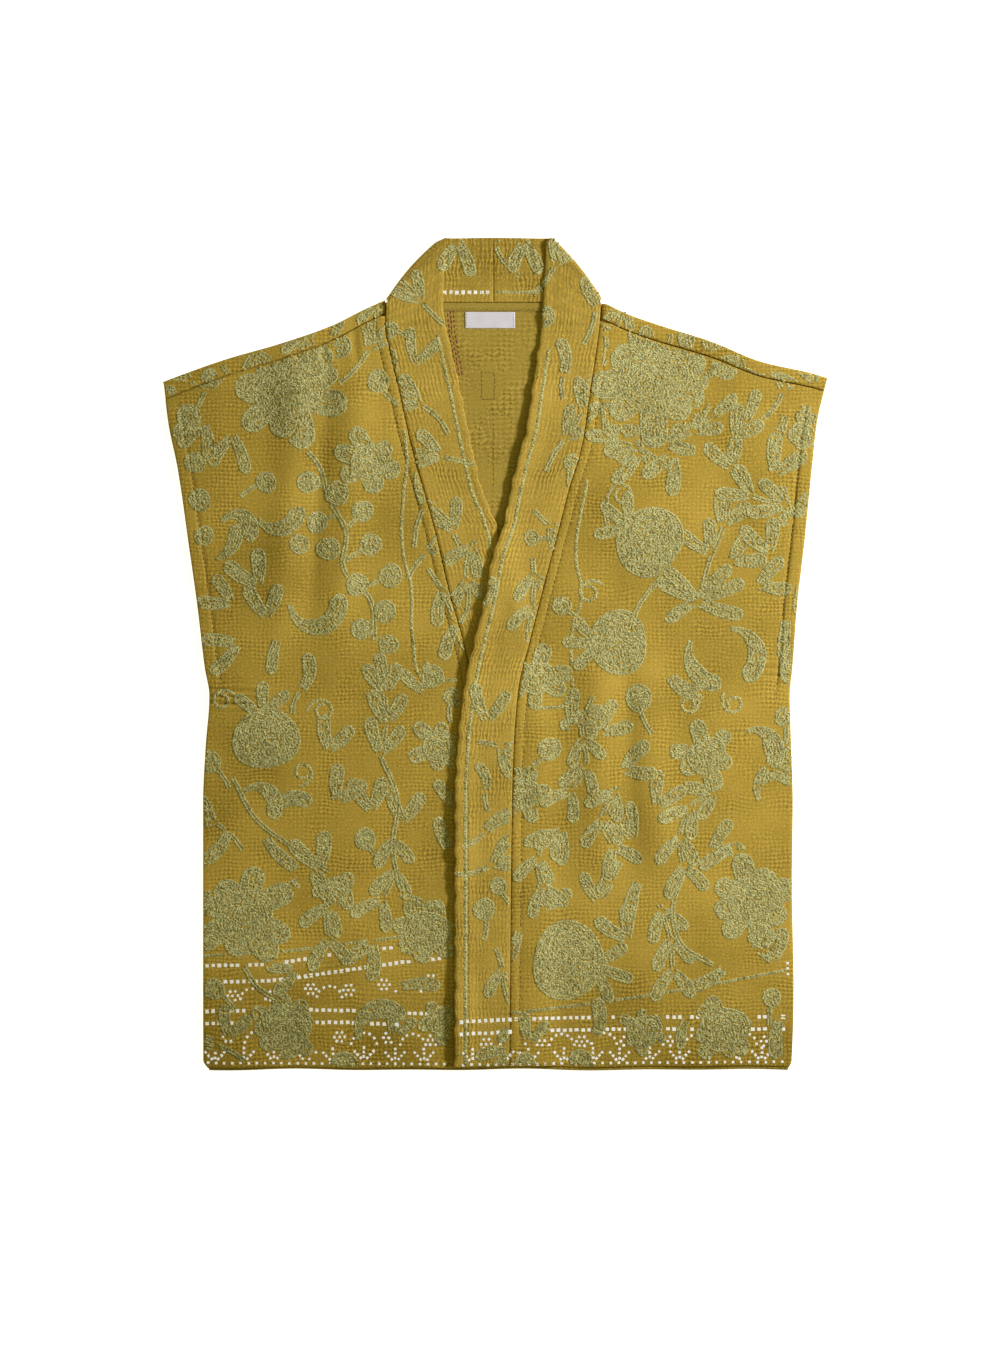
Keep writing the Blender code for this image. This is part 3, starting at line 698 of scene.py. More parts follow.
def spray(*points, size=27.0, every=27.0, droop=False):
    """Leaf pairs along a stem. They point up it and a leaf ends it, or they droop from it."""
    path = smooth_path(points)
    heading = np.degrees(np.arctan2(*(np.gradient(path, axis=0)[:, ::-1].T)))
    shapes = []
    for k in range(int(len(path) * 0.7 / every) + 1):
        i = min(int((k * every + 4.0) / 0.7), len(path) - 1)
        spread, curl = (128.0, 34.0) if droop else (42.0, -26.0)
        shapes += pair(*path[i], heading[i], size * (1.0 - 0.04 * k), 0.44 * size, spread, curl)
    if not droop:
        shapes += leaf(path[-1, 0], path[-1, 1], heading[-1], size, 0.4 * size, 14.0)
    return shapes + stem(*points)


def fruit(x, y, radius, angle, prongs=(-46.0, -6.0, 38.0)):
    """A round fruit with a crown of three blunt prongs."""
    shapes = blob(x, y, radius, angle, ((1, 0.05), (2, -0.07), (3, 0.03)))
    out = np.array([math.cos(math.radians(angle)), math.sin(math.radians(angle))]) * radius * 0.88
    for k, turn in enumerate(prongs):
        side = np.array([-out[1], out[0]]) / radius * turn * 0.16
        at = np.array([x, y]) + out + side
        shapes += leaf(*at, angle + turn, radius * (0.8 + 0.12 * (k == 1)), 11.0, turn * 0.3, 0.85)
    return shapes


def blossom(x, y, size, lobes, angle, seed, core=0.27):
    """A flower of round-ended lobes of uneven length round a filled middle."""
    rng = np.random.default_rng(seed)
    shapes = blob(x, y, size * core, angle, ((2, 0.08), (3, 0.05)))
    spans = ((-0.16, 0.16), (0.36, 0.54), (0.19, 0.27), (-22.0, 22.0))
    for k, (stray, long, wide, bend) in enumerate(zip(*(rng.uniform(*span, lobes) for span in spans))):
        shapes += leaf(x, y, angle + 360.0 * (k + stray) / lobes, size * long, size * wide * 1.12, bend, 0.8)
    return shapes


def scroll(x, y, angle, length, width, turn, root=0.3):
    """A fat leaf that curls through turn degrees, narrow where it starts."""
    return leaf(x, y, angle, length, width, turn, root)


def tendril(x, y, angle, radius, turn):
    """One row of stitches in a spiral: its heading turns faster as it goes in."""
    s = np.linspace(0.0, 1.0, 90)
    length = abs(turn) / 57.3 * radius * 0.72
    return [("stroke", walk(x, y, angle + turn * s**1.5, length / len(s)), np.full(len(s), 1.2))]


def evenly(path, keep=1.0, every=LINK):
    """Places and directions at even distances along a path, less those where keep is false."""
    path = path[np.append(True, np.linalg.norm(np.diff(path, axis=0), axis=1) > 1e-6)]
    if len(path) < 3:
        return np.zeros((0, 3))
    reach = np.append(0.0, np.cumsum(np.linalg.norm(np.diff(path, axis=0), axis=1)))
    count = int(reach[-1] / every)
    at = (np.arange(count) + 0.5) * reach[-1] / max(count, 1)
    x, y = np.interp(at, reach, path[:, 0]), np.interp(at, reach, path[:, 1])
    ahead = np.minimum(at + 0.6, reach[-1])
    dx, dy = np.interp(ahead, reach, path[:, 0]) - x, np.interp(ahead, reach, path[:, 1]) - y
    kept = np.interp(at, reach, np.resize(keep, len(path)).astype(float)) > 0.5
    return np.column_stack([x, y, np.arctan2(dy, dx)])[kept]


def stitch_rows(shape):
    """Place, direction, looseness and width of every stitch that fills a shape.

    A stroke's rows keep a fixed distance inside its outline, with one down the middle where there is
    room. A patch's rows are its outline, shrunk step by step. The outermost row is firm and those
    inside it are loose, and a single row is firm and wider.
    """
    kind, where, size = shape
    single = size.max() < 2.25
    rows = []

    def sew(path, keep, loose):
        places = evenly(path, keep)
        places[:, 2] += single * 0.4 * (-1.0) ** np.arange(len(places))
        kind_of_row = [1.0 if loose else 0.3, 1.3 if single else 1.0]
        rows.append(np.column_stack([places, np.tile(kind_of_row, (len(places), 1))]))

    if kind == "patch":
        theta = np.linspace(0.0, 2.0 * math.pi, len(size) + 1)
        ray = np.column_stack([np.cos(theta), np.sin(theta)]) * np.append(size, size[0])[:, None]
        count = round(size.mean() / ROW_GAP)
        for k in range(count):
            sew(where + ray * (1.0 - (k + 0.5) / count), 1.0, k > 0)
        return np.vstack(rows)
    ahead = np.gradient(where, axis=0)
    side = np.column_stack([-ahead[:, 1], ahead[:, 0]]) / np.linalg.norm(ahead, axis=1)[:, None]
    inset = size - ROW_GAP / 2.0
    nowhere = 1000.0
    last = np.full(len(size), nowhere)
    while (inset > 0.55 * ROW_GAP).any():
        fits = inset > 0.55 * ROW_GAP
        for way in (1.0, -1.0):
            sew(where + side * (way * inset)[:, None], fits, last[0] < nowhere)
        last = np.where(fits, inset, last)
        inset = inset - ROW_GAP
    sew(where, last > 0.62 * ROW_GAP, not single)
    return np.vstack(rows)


def cells_of(x, y):
    return (np.clip(((y - FIELD[1]) / CELL).astype(int), 0, FIELD[3] - 1),
            np.clip(((x - FIELD[0]) / CELL).astype(int), 0, FIELD[2] - 1))


def covered(shape, margin=0.0):
    """The cells of the field inside a shape and its margin: within the half-width of a stroke's
    nearest point, or nearer to a patch's middle than its outline."""
    kind, where, size = shape
    spot = np.atleast_2d(where)
    most = size.max() + margin + 1.0
    low, high = spot.min(axis=0) - most, spot.max(axis=0) + most
    (i0, j0), (i1, j1) = cells_of(low[:1], low[1:]), cells_of(high[:1], high[1:])
    i, j = np.meshgrid(np.arange(i0[0], i1[0] + 1), np.arange(j0[0], j1[0] + 1), indexing="ij")
    x, y = FIELD[0] + (j + 0.5) * CELL, FIELD[1] + (i + 0.5) * CELL
    if kind == "patch":
        theta = np.arctan2(y - where[1], x - where[0]) % (2.0 * math.pi)
        limit = np.interp(theta, np.linspace(0.0, 2.0 * math.pi, len(size) + 1), np.append(size, size[0]))
        inside = np.hypot(x - where[0], y - where[1]) < limit + margin
    else:
        step = slice(None, None, 2)
        far = np.hypot(x[..., None] - where[step, 0], y[..., None] - where[step, 1]) - size[step]
        inside = far.min(axis=2) < margin
    return i[inside], j[inside]


def tops_of(faces, split=8):
    """The highest point of a sheet's faces over each cell of the field, minus infinity beside them.

    Each square of a face is filled with split times split points, bilinear between its corners.
    """
    s = (np.arange(split) + 0.5) / split
    u, v = s[:, None, None, None, None], s[None, :, None, None, None]
    tops = np.full((FIELD[3], FIELD[2]), -np.inf)
    for face in faces:
        points = ((1.0 - u) * ((1.0 - v) * face[:-1, :-1] + v * face[:-1, 1:])
                  + u * ((1.0 - v) * face[1:, :-1] + v * face[1:, 1:]))
        np.maximum.at(tops, cells_of(points[..., 0], points[..., 1]), points[..., 2])
    return tops


def widened(cells, steps):
    """The marked cells and all those within some steps of one."""
    for _ in range(steps):
        beside = [np.roll(cells, way, axis) for way in (1, -1) for axis in (0, 1)]
        cells = np.logical_or.reduce([cells, *beside])
    return cells


def work(shapes, room):
    """Stitches of all the shapes in turn, without those that fall on an earlier shape or outside
    the room, and the field of cells that they cover."""
    taken = np.zeros((FIELD[3], FIELD[2]), bool)
    done = []
    for shape in shapes:
        rows = stitch_rows(shape)
        cells = cells_of(rows[:, 0], rows[:, 1])
        done.append(rows[~taken[cells] & room[cells]])
        taken[covered(shape)] = True
    return np.vstack(done), taken


def strewn(shapes, room, seed, margin, largest, tries=1500):
    """Sprays, leaf pairs, single leaves and berries for the room that a design leaves.

    They are tried at random places, the largest first, and kept where they are clear of all others
    by the margin. They grow along a flow that wavers slowly about upright, on short bent stalks.
    """
    rng = np.random.default_rng(seed)
    busy = np.zeros(room.shape, bool)
    for shape in shapes:
        busy[covered(shape, margin)] = True
    rows, columns = np.nonzero(room)
    more = []
    for k in range(tries):
        pick = rng.integers(len(rows))
        x, y = FIELD[0] + columns[pick], FIELD[1] + rows[pick]
        angle = 90.0 + 75.0 * float(mottle(x, y, 240.0, seed)) + rng.uniform(-35.0, 35.0)
        length = largest * (1.0 - 0.4 * k / tries) * rng.uniform(0.9, 1.1)
        bend = rng.choice([-1.0, 1.0]) * rng.uniform(15.0, 50.0)
        kind = k % 5
        if k < 0.3 * tries:
            way = bent_path(x, y, angle, rng.uniform(0.8, 1.7) * length, bend)
            grown = spray(*way[::10], size=0.7 * length, every=0.8 * length, droop=rng.random() < 0.6)
        elif kind < 3:
            spread = rng.uniform(34.0, 54.0)
            grown = pair(x, y, angle, length, 0.40 * length, spread, rng.choice([-26.0, 75.0]))
        elif kind == 3:
            grown = leaf(x, y, angle, 1.25 * length, 0.46 * length, 1.6 * bend, 0.75)
        else:
            grown = berry(x, y, 0.29 * length)
        if any(busy[covered(shape)].any() for shape in grown):
            continue
        stalk = bent_path(x, y, angle + 180.0, 0.9 * length, bend)
        grown.append(("stroke", stalk, np.full(len(stalk), 2.3)))
        for shape in grown:
            busy[covered(shape, margin)] = True
        more += grown
    return more


LOOP = np.array([       # along, across, up, painted shade of the loop's dips: one stitch, narrow at the back, open in the middle
    (-1.70, -0.80, -0.25, 0.8), (-1.62, -0.46, 0.32, 0.1), (-1.60, 0.0, 0.14, 0.8), (-1.62, 0.46, 0.32, 0.1),
    (-1.70, 0.80, -0.25, 0.8),
    (-0.10, -1.20, -0.25, 0.8), (-0.10, -0.76, 0.60, 0.0), (-0.15, 0.0, 0.05, 1.0), (-0.10, 0.76, 0.60, 0.0),
    (-0.10, 1.20, -0.25, 0.8),
    (1.40, -0.98, -0.25, 0.8), (1.50, -0.56, 0.55, 0.0), (1.62, 0.0, 0.48, 0.1), (1.50, 0.56, 0.55, 0.0),
    (1.40, 0.98, -0.25, 0.8)])


def turned(x, y, u, v, turn):
    """Where points u along and v across each place's own direction come to lie."""
    cosine, sine = np.cos(turn)[:, None], np.sin(turn)[:, None]
    return x[:, None] + u * cosine - v * sine, y[:, None] + u * sine + v * cosine


def copies(name, points, faces, mat):
    """A mesh of many copies of one pattern, each with its own row of points and the same faces."""
    count, size = points.shape[:2]
    faces = np.array(faces) + size * np.arange(count)[:, None, None]
    mesh = bpy.data.meshes.new(name)
    mesh.from_pydata((points.reshape(-1, 3) * MM).tolist(), [], faces.reshape(-1, 4).tolist())
    mesh.materials.append(mat)
    return mesh


def chain_stitches(name, stitches, tops, seed):
    """A mesh of loops: the pattern loop, turned to each stitch's direction, on the cloth's height."""
    rng = np.random.default_rng(seed)
    count = len(stitches)
    x, y, angle, loose = stitches[:, :4].T
    up = LOOP[:, 2]
    turn = angle + rng.normal(0.0, 0.75, count) * loose
    u = LOOP[:, 0] * rng.uniform(0.92, 1.08, (count, 1))
    v = LOOP[:, 1] * stitches[:, 4:] * rng.uniform(0.92, 1.08, (count, 1))
    v = v + rng.normal(0.0, 0.12, (count, 1)) * (up > 0)
    middle = tops[cells_of(x, y)][:, None]
    x = x + rng.normal(0.0, 0.42, count) * loose
    y = y + rng.normal(0.0, 0.42, count) * loose
    x, y = turned(x, y, u, v, turn)
    level = tops[cells_of(x, y)]
    z = np.where(np.isfinite(level), level, middle) + up * rng.uniform(0.8, 1.15, (count, 1))
    first = np.array([0, 1, 2, 3, 5, 6, 7, 8])
    faces = np.stack([first, first + 5, first + 6, first + 1], axis=1)
    mesh = copies(name, np.stack([x, y, z], axis=2), faces, yarn)
    tones = np.repeat(np.clip(rng.normal(0.5, 0.17, count), 0.1, 0.95), len(LOOP))
    mesh.attributes.new("tone", "FLOAT", "POINT").data.foreach_set("value", tones)
    # Painted shade: each point's share of near-black shade, taken from the pattern loop.
    mesh.attributes.new("painted_hollow_shade", "FLOAT", "POINT").data.foreach_set("value", np.tile(LOOP[:, 3], count))
    mesh.shade_smooth()
    return piece_of(name, mesh)


def each(shape, *rows):
    """The shapes of one kind, one for each row of arguments."""
    return [part for row in rows for part in shape(*row)]


def single_row(*points):
    """One row of stitches through the points."""
    return stem(*points, width=1.0)


def edge_row(column, inset, start):
    """One row of stitches along a band, a fixed distance in from its free edge."""
    y = np.arange(start, 288.0, 14.0)
    return single_row(*zip(along(BANDS, column, y) + inset, y))


MOTIFS = {              # in the order in which they are worked, the later ones stopping at the earlier
    "right": (
        blossom(-184, 236, 98, 9, 12, 4) + blossom(-112, 172, 66, 6, 40, 7) + berry(-140, 277, 10)
        + pair(-262, 206, 250, 27) + berry(-276, 214, 9.5) + pair(-236, 196, 262, 31, 11)
        + each(berry, (-270, 172, 8.5), (-281, 200, 8), (-266, 138, 9), (-262, 106, 8))
        + each(scroll, (-246, 118, 60, 46, 15, -190), (-214, 122, -60, 52, 16, 150),
               (-252, 84, 20, 40, 13, 80)) + each(berry, (-168, 154), (-142, 144, 10), (-160, 118, 8.5),
               (-119, 128, 8.5), (-150, 94, 9.5), (-176, 98, 8), (-112, 98, 9), (-94, 70, 9.5),
               (-124, 62, 9), (-99, 38, 9), (-120, 22, 8.5), (-96, 8, 8))
        + each(stem,
               ((-176, 190), (-158, 168), (-150, 140), (-134, 110), (-136, 76), (-112, 48), (-108, 12)),
               ((-168, 154), (-152, 150)), ((-142, 144), (-150, 134)), ((-119, 128), (-134, 112)),
               ((-160, 118), (-144, 124)), ((-150, 94), (-136, 88)), ((-112, 98), (-134, 84)),
               ((-94, 70), (-122, 58)), ((-99, 38), (-112, 40)), ((-120, 22), (-109, 30)))
        + each(pair, (-214, 62, 118, 30), (-206, 34, 96, 28), (-238, 46, 150, 26), (-232, 8, 200, 30, 12))
        + scroll(-184, 44, -86, 74, 17, 196) + leaf(-196, 12, 250, 30, 11, 20) + fruit(-206, -78, 29, 98)
        + tendril(-232, -40, 130, 11, 420) + tendril(-170, -52, 60, 12, -430)
        + spray((-104, -92), (-98, -62), (-100, -28), size=28) + berry(-56, -20, 9)
        + pair(-64, -34, 110, 24) + blossom(-50, -84, 56, 6, 20, 12)
        + stem((-104, -90), (-88, -130), (-92, -178), (-84, -214)) + pair(-150, -86, 70, 27)
        + scroll(-226, -124, 40, 50, 15, -170) + scroll(-196, -150, 100, 44, 14, -150)
        + leaf(-240, -160, 250, 36, 12, -40) + leaf(-206, -166, -60, 38, 12, 30)
        + tendril(-176, -120, 20, 11, 400) + each(pair, (-142, -132, 60, 28), (-112, -140, 96, 28),
               (-84, -150, 80, 28)) + stem((-236, -112), (-214, -150), (-186, -172), (-150, -196))
        + blossom(-226, -236, 92, 8, 30, 21) + pair(-158, -192, 110, 30) + pair(-146, -226, 90, 30)
        + spray((-150, -262), (-152, -234), (-138, -204), size=27, every=30, droop=True)
        + spray((-104, -226), (-90, -196), (-92, -168), size=26, every=28, droop=True)
        + blossom(-62, -250, 74, 7, 10, 33) + pair(-42, -176, 80, 26) + pair(-36, -136, 100, 24)
        + leaf(-176, -206, 200, 34, 12, 30) + pair(-110, -262, 240, 28) + pair(-180, -286, 200, 24)
        + stem((-226, -282), (-214, -300), (-196, -312)) + blossom(-190, -336, 62, 8, 5, 41, core=0.36)
        + scroll(-122, -348, 110, 62, 18, -170) + blossom(-50, -330, 46, 5, 50, 44)
        + pair(-240, -344, 70, 24) + leaf(-84, -300, 20, 34, 12, -40) + pair(-92, -342, 60, 22)
        + single_row((-82, 201), (-79, 171.5), (-82, 147), (-82, 87), (-76, 63), (-74, 13), (-66, -22),
                     (-34, -24))
        + single_row((-262, -272), (-190, -268), (-110, -258), (-42, -250))),
    "left": (
        blossom(142, 246, 112, 9, 25, 51) + blossom(186, 262, 60, 5, 60, 52)
        + each(pair, (98, 226, 250, 26), (128, 178, 200, 28), (112, 196, 150, 26), (160, 176, 240, 29))
        + spray((96, 196), (130, 186), (168, 194), (196, 214), size=27, every=28)
        + spray((262, 132), (226, 146), (210, 178), (226, 210), size=28, every=30) + fruit(276, 196, 12, 60)
        + leaf(280, 224, 268, 40, 12, -12) + pair(252, 164, 60, 30) + leaf(262, 214, 250, 26, 9)
        + pair(266, 122, 80, 26) + pair(246, 92, 110, 28) + leaf(282, 130, 200, 30, 11, 10)
        + tendril(102, 132, 100, 13, -430) + fruit(140, 100, 31, 146) + tendril(98, 62, 150, 12, 420)
        + stem((118, 122), (104, 112), (98, 132)) + stem((150, 70), (128, 40), (122, 22))
        + each(pair, (204, 118, 60, 28), (214, 84, 30, 28), (192, 92, 118, 27), (238, 62, 20, 27))
        + each(leaf, (182, 48, 130, 40, 12, 12), (182, 48, 160, 38, 11, -10), (182, 48, 52, 42, 12, -14),
               (182, 48, 16, 44, 12, 12), (184, 46, -26, 40, 13, 20), (180, 46, 206, 30, 11, 16))
        + stem((184, 46), (192, 80), (206, 116), (214, 150)) + fruit(112, 10, 28, 184)
        + scroll(212, 22, 0, 62, 17, -150) + scroll(176, 12, 250, 56, 16, 110)
        + blob(266, -12, 13, 90, ((2, 0.25),)) + leaf(262, 30, 262, 34, 12, 8)
        + leaf(276, 66, 262, 30, 10, 0) + tendril(206, -34, 250, 11, 430) + tendril(182, -36, 290, 10, -420)
        + leaf(158, -20, 300, 34, 15, 60) + blossom(38, -22, 58, 6, 20, 61) + pair(70, -64, 60, 28)
        + pair(96, -70, 40, 26)
        + spray((66, -128), (82, -100), (78, -66), (88, -38), size=25, every=25, droop=True)
        + blossom(190, -92, 64, 6, 40, 62) + scroll(226, -70, 20, 52, 16, -150) + pair(254, -102, 80, 25)
        + scroll(238, -132, 120, 56, 16, -190) + blossom(24, -126, 60, 6, 0, 63) + pair(116, -104, 20, 28)
        + spray((108, -178), (96, -150), (110, -120), size=26, every=26, droop=True)
        + pair(60, -160, 240, 26) + spray((44, -214), (38, -186), (52, -160), size=25, every=26, droop=True)
        + pair(146, -136, 60, 27)
        + spray((170, -196), (166, -166), (178, -136), (200, -124), size=27, every=26, droop=True)
        + pair(124, -166, 110, 30, 11, 26) + leaf(128, -206, 250, 36, 13, 12)
        + leaf(112, -186, 238, 34, 12, 0) + blossom(232, -222, 84, 8, 15, 71)
        + leaf(214, -176, 200, 34, 12, 20) + pair(196, -176, 30, 26)
        + stem((170, -196), (160, -232), (168, -262), (196, -280))
        + spray((160, -290), (158, -258), (148, -226), size=27, every=27, droop=True)
        + fruit(64, -276, 34, -12) + pair(44, -228, 60, 26) + pair(92, -222, 90, 24)
        + leaf(22, -250, 250, 28, 11) + pair(118, -256, 120, 28) + pair(250, -276, 100, 28)
        + leaf(206, -284, 220, 34, 12, -20) + blossom(206, -338, 60, 8, 10, 81, core=0.36)
        + blossom(134, -340, 46, 6, 30, 82, core=0.34) + leaf(256, -330, 250, 34, 13, 30)
        + leaf(90, -344, 60, 34, 13, 60) + pair(30, -348, 70, 22) + leaf(172, -330, 240, 26, 10, 40)
        + single_row((83, 156), (73, 84), (78, 54), (69, 17), (69, -16), (68, -43), (32, -50))
        + single_row((15, -323), (86, -315), (176, -301), (262, -285))),
    "band right": (
        edge_row(2, -9.4, -371.0) + pair(-72, 262, 70, 27, 10) + pair(-33, 369, 264, 27, 12, 40)
        + berry(-33, 366, 6.5)),
    "band left": (
        edge_row(3, 9.6, -370.0) + pair(26, 369, 272, 26, 12, 38) + berry(26, 366, 6.5)
        + pair(-8, -60, 80, 30, 11) + pair(-12, 40, 100, 28, 11)
        + single_row((2, 325.5), (22, 325), (43, 326))),
    "strips": [],
}

upper = tops_of(bands["left"][1])
tops = {"right": tops_of(fronts["right"][1]), "left": tops_of(fronts["left"][1]),
        "band right": tops_of(bands["right"][1]), "band left": upper, "strips": tops_of(strip_faces)}
beneath = widened(np.isfinite(upper), 2)
STREWN = {              # seed, margin and largest leaf of what fills up each design
    "right": (5, 4.6, 42.0), "left": (9, 5.2, 41.0), "band right": (12, 6.0, 36.0),
    "band left": (17, 6.0, 36.0), "strips": (23, 3.0, 30.0)}
back_neck_row = stem((-50, 325.5), (-30, 325.5), (-4, 325.5), width=9.0)    # kept free for the print
worked = np.zeros(upper.shape, bool)
for place, (seed, margin, largest) in STREWN.items():
    room = ~widened(~np.isfinite(tops[place]), 2)
    if place.endswith("right"):
        room &= ~beneath
    motifs = MOTIFS[place] + strewn(MOTIFS[place] + back_neck_row, room, seed, margin, largest)
    rows, taken = work(motifs, room)
    worked |= taken & room
    chain_stitches("embroidery_" + place.replace(" ", "_"), rows, tops[place], seed)


# Rows, rosettes, arches and fans of small white squares are block-printed on the cloth above the hem
# and on the neck band, where no embroidery covers it. They are flat pads just above the cloth.
def coat(name, colour):
    """A plain matt colour with a fine cloudiness."""
    mat, tree, shader = new_material(name)
    cloud = noise(tree, put(tree, "TexCoord").outputs["Object"], 900.0, 3.0)
    low = [0.88 * share for share in colour]
    clouded = blend_colour(tree, ranged(tree, cloud, 0.3, 0.7), low, colour)
    tree.links.new(clouded, shader.inputs["Base Color"])
    shader.inputs["Roughness"].default_value = 0.8
    return mat


def pads(name, places, size, rise, tops, mat, seed):
    """Small bevelled pads, each turned to its place's direction and laid on the cloth's height."""
    rng = np.random.default_rng(seed)
    places = places[np.isfinite(tops[cells_of(places[:, 0], places[:, 1])])]
    count = len(places)
    x, y, angle = places.T
    middle = tops[cells_of(x, y)][:, None]
    u = np.array([-1.0, 1.0, 1.0, -1.0]) * size[0] / 2.0
    v = np.array([-1.0, -1.0, 1.0, 1.0]) * size[1] / 2.0
    bevel = min(size) * 0.14
    u = np.append(u, u - np.sign(u) * bevel) * rng.uniform(0.88, 1.1, (count, 1))
    v = np.append(v, v - np.sign(v) * bevel) * rng.uniform(0.88, 1.1, (count, 1))
    angle = angle + rng.normal(0.0, 0.06, count)
    x = x + rng.normal(0.0, 0.15, count)
    y = y + rng.normal(0.0, 0.15, count)
    x, y = turned(x, y, u, v, angle)
    near = tops[cells_of(x, y)]
    z = np.where(np.abs(near - middle) < 1.0, near, middle) + np.array([-0.25] * 4 + [rise] * 4)
    faces = ((4, 5, 6, 7), (0, 1, 5, 4), (1, 2, 6, 5), (2, 3, 7, 6), (3, 0, 4, 7))
    piece_of(name, copies(name, np.stack([x, y, z], axis=2), faces, mat))


def ring(x, y, radius, start, end, count):
    """Places on an arc, each facing along it."""
    turn = np.radians(np.linspace(start, end, count))
    return np.column_stack([x + radius * np.cos(turn), y + radius * np.sin(turn), turn])


def rosette(x, y):
    """Six places round a middle one."""
    return np.vstack([ring(x, y, 4.6, 0.0, 300.0, 6), [[x, y, 0.0]]])


def arch(x, y):
    return ring(x, y, 11.5, 10.0, 170.0, 7)


def fan(x, y):
    """Three short rows of places that spread upwards from a point."""
    turn, far = (k.ravel() for k in np.meshgrid(np.radians((48.0, 90.0, 132.0)), (4.5, 8.6, 12.7)))
    return np.column_stack([x + far * np.cos(turn), y + far * np.sin(turn), turn])


def line_of(*points, every=5.4):
    return evenly(smooth_path(points), every=every)


def free(places):
    """The places that no embroidery covers."""
    return places[~worked[cells_of(places[:, 0], places[:, 1])]]


whole = np.full(upper.shape, -np.inf)
for place in ("right", "band right", "left", "strips", "band left"):
    whole = np.maximum(whole, tops[place])
squares = [
    line_of((-262, -281), (-200, -279), (-140, -270), (-84, -264), (-42, -260)),
    line_of((-262, -296), (-200, -294), (-140, -286), (-84, -278), (-42, -274)),
    line_of((-262, -322), (-150, -321), (-42, -325)), line_of((-262, -333), (-150, -332), (-42, -336)),
    line_of((-33, -331), (12, -329), (60, -328), (262, -327)), line_of((-33, -342), (60, -339), (262, -338)),
    line_of((-48, 325), (-4, 325), every=5.1)]
dots = [rosette(x, y) for x, y in (
    (-236, -308), (-200, -308), (-166, -302), (-132, -303), (-100, -298), (-58, -294), (-240, -345),
    (-185, -346), (-140, -345), (-96, -346), (-56, -348), (-8, -351), (40, -348), (78, -349), (118, -349),
    (160, -349), (203, -348), (244, -349))]
dots += [arch(x, y) for x, y in (
    (-218, -313), (-149, -311), (-78, -306), (-214, -352), (-118, -353), (-74, -354), (16, -353),
    (60, -354), (98, -353), (140, -354), (182, -354), (224, -353))]
dots += [fan(x, -368.0 + 0.6 * math.sin(x)) for x in (
    -252, -226, -199, -170, -146, -118, -90, -64, -20, 8, 30, 62, 88, 112, 139, 166, 190, 217, 240)]
dots += [line_of((-262, -368.5), (-42, -369.5), every=7.3), line_of((-32, -369.5), (262, -367.5), every=7.3),
         line_of((264, -291), (263, -276), every=4.6)]
chalk = coat("white block print", (1.0, 0.98, 0.90))
pads("printed_squares", free(np.vstack(squares)), (3.9, 3.9), 0.12, whole, chalk, 2)
pads("printed_dots", free(np.vstack(dots)), (2.8, 2.8), 0.12, whole, chalk, 3)


# Rows of running stitch hold the armhole hems, the seams along the bands, the tape and the label, and
# three plum-red rows show inside the back. Each stitch is a short raised bar of thread.
# The thread's dark colour is partly its own and partly painted shade of the grooves it lies in.
dark_thread_with_painted_shade = coat("dark sewing thread with painted shade", (0.17, 0.11, 0.012))
thread_red = coat("plum sewing thread", (0.22, 0.018, 0.03))
label_ends = np.vstack([line_of((x, 294.0), (x, 306.6), every=2.2) for x in (-25.9, 16.9)])
label_top = np.full(upper.shape, BACK_TOP + GAP + 0.5)
pads("label_stitches", label_ends, (1.4, 0.6), 0.15, label_top, dark_thread_with_painted_shade, 8)
topstitch = []
for half, spec in HALVES.items():
    y = np.linspace(UNDERARM - 4.0, SHOULDER_TIP - 2.0, 200)
    x = front_edges(half, y)[0] - spec["sign"] * HEM_STITCH
    topstitch.append(evenly(np.column_stack([x, y]), every=4.2))
    y = np.linspace(spec["hem"] + 3.0, 280.0, 400)
    x = front_edges(half, y)[1] + spec["sign"] * SEAM_STITCH
    topstitch.append(evenly(np.column_stack([x, y]), every=4.2))
pads("topstitching", free(np.vstack(topstitch)), (2.8, 0.7), 0.12, whole, dark_thread_with_painted_shade, 4)
inside_back = np.full(upper.shape, QUILT)
red_rows = np.vstack([line_of((x - 0.2, top), (x + 1.0, 296.0), (x + 8.5, top - 65.0), every=4.5)
                      for x, top in ((-42.8, 316.5), (-40.3, 314.4), (-37.6, 315.6))])
pads("red_running_stitches", red_rows, (3.1, 0.9), 0.3, inside_back, thread_red, 5)
square = np.array([(-12.0, 229.0), (-0.5, 229.0), (-0.5, 253.0), (-12.0, 253.0), (-12.0, 229.0)])
corners = np.vstack([np.linspace(a, b, 20, endpoint=False) for a, b in zip(square[:-1], square[1:])])
inside_rows = np.vstack([evenly(corners, every=3.4), line_of((-1.4, 222), (-1.4, 150), every=4.4)])
pads("inside_stitches", inside_rows, (2.4, 0.7), 0.25, inside_back, dark_thread_with_painted_shade, 6)
tape_top = np.full(upper.shape, BACK_TOP + GAP + 0.8)
tape_row = line_of((-82, 310.2), (82, 310.2), every=3.8)
pads("tape_stitches", tape_row, (2.4, 0.6), 0.2, tape_top, dark_thread_with_painted_shade, 7)


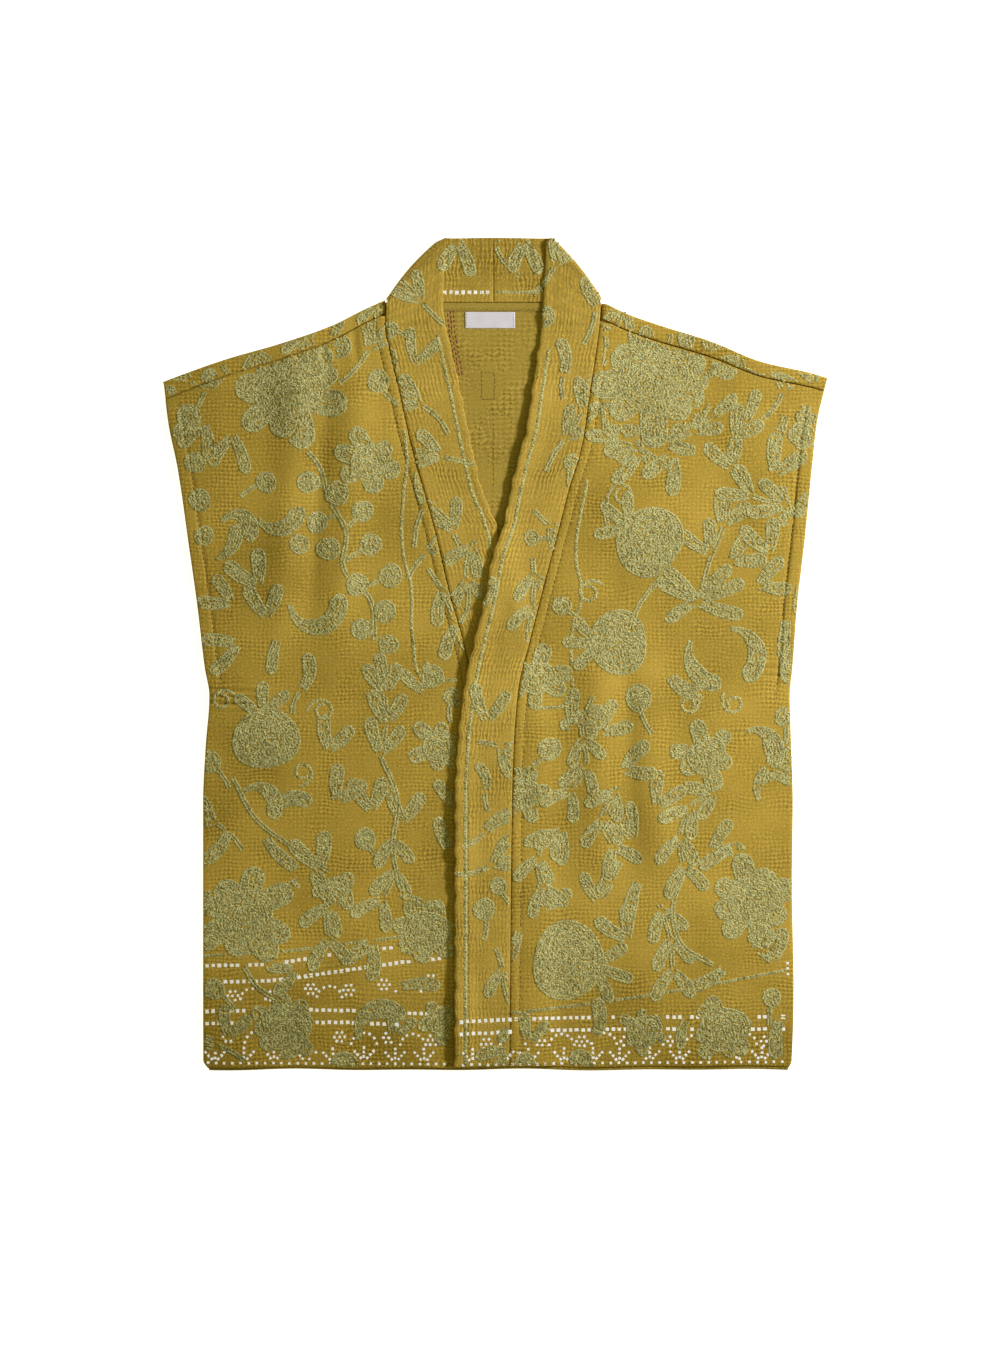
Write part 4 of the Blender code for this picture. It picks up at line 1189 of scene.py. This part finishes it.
# The floor is a plain sheet that glows white, under a dim warm sky that the camera sees as white. One
# small cool lamp at the upper right casts the soft shadows. The camera looks straight down.
paper, tree, shader = new_material("pale floor")
grain = noise(tree, put(tree, "TexCoord").outputs["Object"], 3.0, 2.0)
white = blend_colour(tree, grain, (0.90, 0.90, 0.90), (0.93, 0.93, 0.93))
tree.links.new(white, shader.inputs["Base Color"])
shader.inputs["Roughness"].default_value = 0.9
shader.inputs["Emission Color"].default_value = (1.0, 1.0, 1.0, 1.0)
shader.inputs["Emission Strength"].default_value = 0.85
FLOOR_HALF = 20.0       # in metres, so that the floor fills oblique views too
FLOOR_LEVEL = -0.0006
mesh = bpy.data.meshes.new("floor")
corners = [(FLOOR_HALF * i, FLOOR_HALF * j, FLOOR_LEVEL) for i, j in ((-1, -1), (1, -1), (1, 1), (-1, 1))]
mesh.from_pydata(corners, [], [(0, 1, 2, 3)])
mesh.materials.append(paper)
floor = bpy.data.objects.new("floor", mesh)
bpy.context.scene.collection.objects.link(floor)

sky = bpy.data.worlds.new("studio")
sky.use_nodes = True
tree = sky.node_tree
seen = put(tree, "LightPath").outputs["Is Camera Ray"]
tree.links.new(blend_colour(tree, seen, (0.29, 0.283, 0.13), (0.96, 0.96, 0.96)),
               tree.nodes["Background"].inputs["Color"])
bpy.context.scene.world = sky
lamp = bpy.data.lights.new("key", "AREA")
lamp.shape = "DISK"
lamp.size = 0.4
lamp.energy = 62.0
lamp.color = (1.0, 1.0, 1.18)
key = bpy.data.objects.new("key", lamp)
key.visible_camera = False
bpy.context.scene.collection.objects.link(key)
key.location = (1.95, 0.75, 1.35)
key.rotation_euler = Vector(key.location).to_track_quat("Z", "Y").to_euler()
bpy.context.scene.view_settings.view_transform = "Standard"

FRAME_HEIGHT = 1.2312   # height in metres of what the photo shows
lens = bpy.data.cameras.new("camera")
lens.lens = 85.0
lens.sensor_fit = "VERTICAL"
lens.sensor_height = 36.0
camera = bpy.data.objects.new("camera", lens)
camera.location = (0.0045, -0.02745, FRAME_HEIGHT * lens.lens / lens.sensor_height + 0.004)
bpy.context.scene.collection.objects.link(camera)
bpy.context.scene.camera = camera
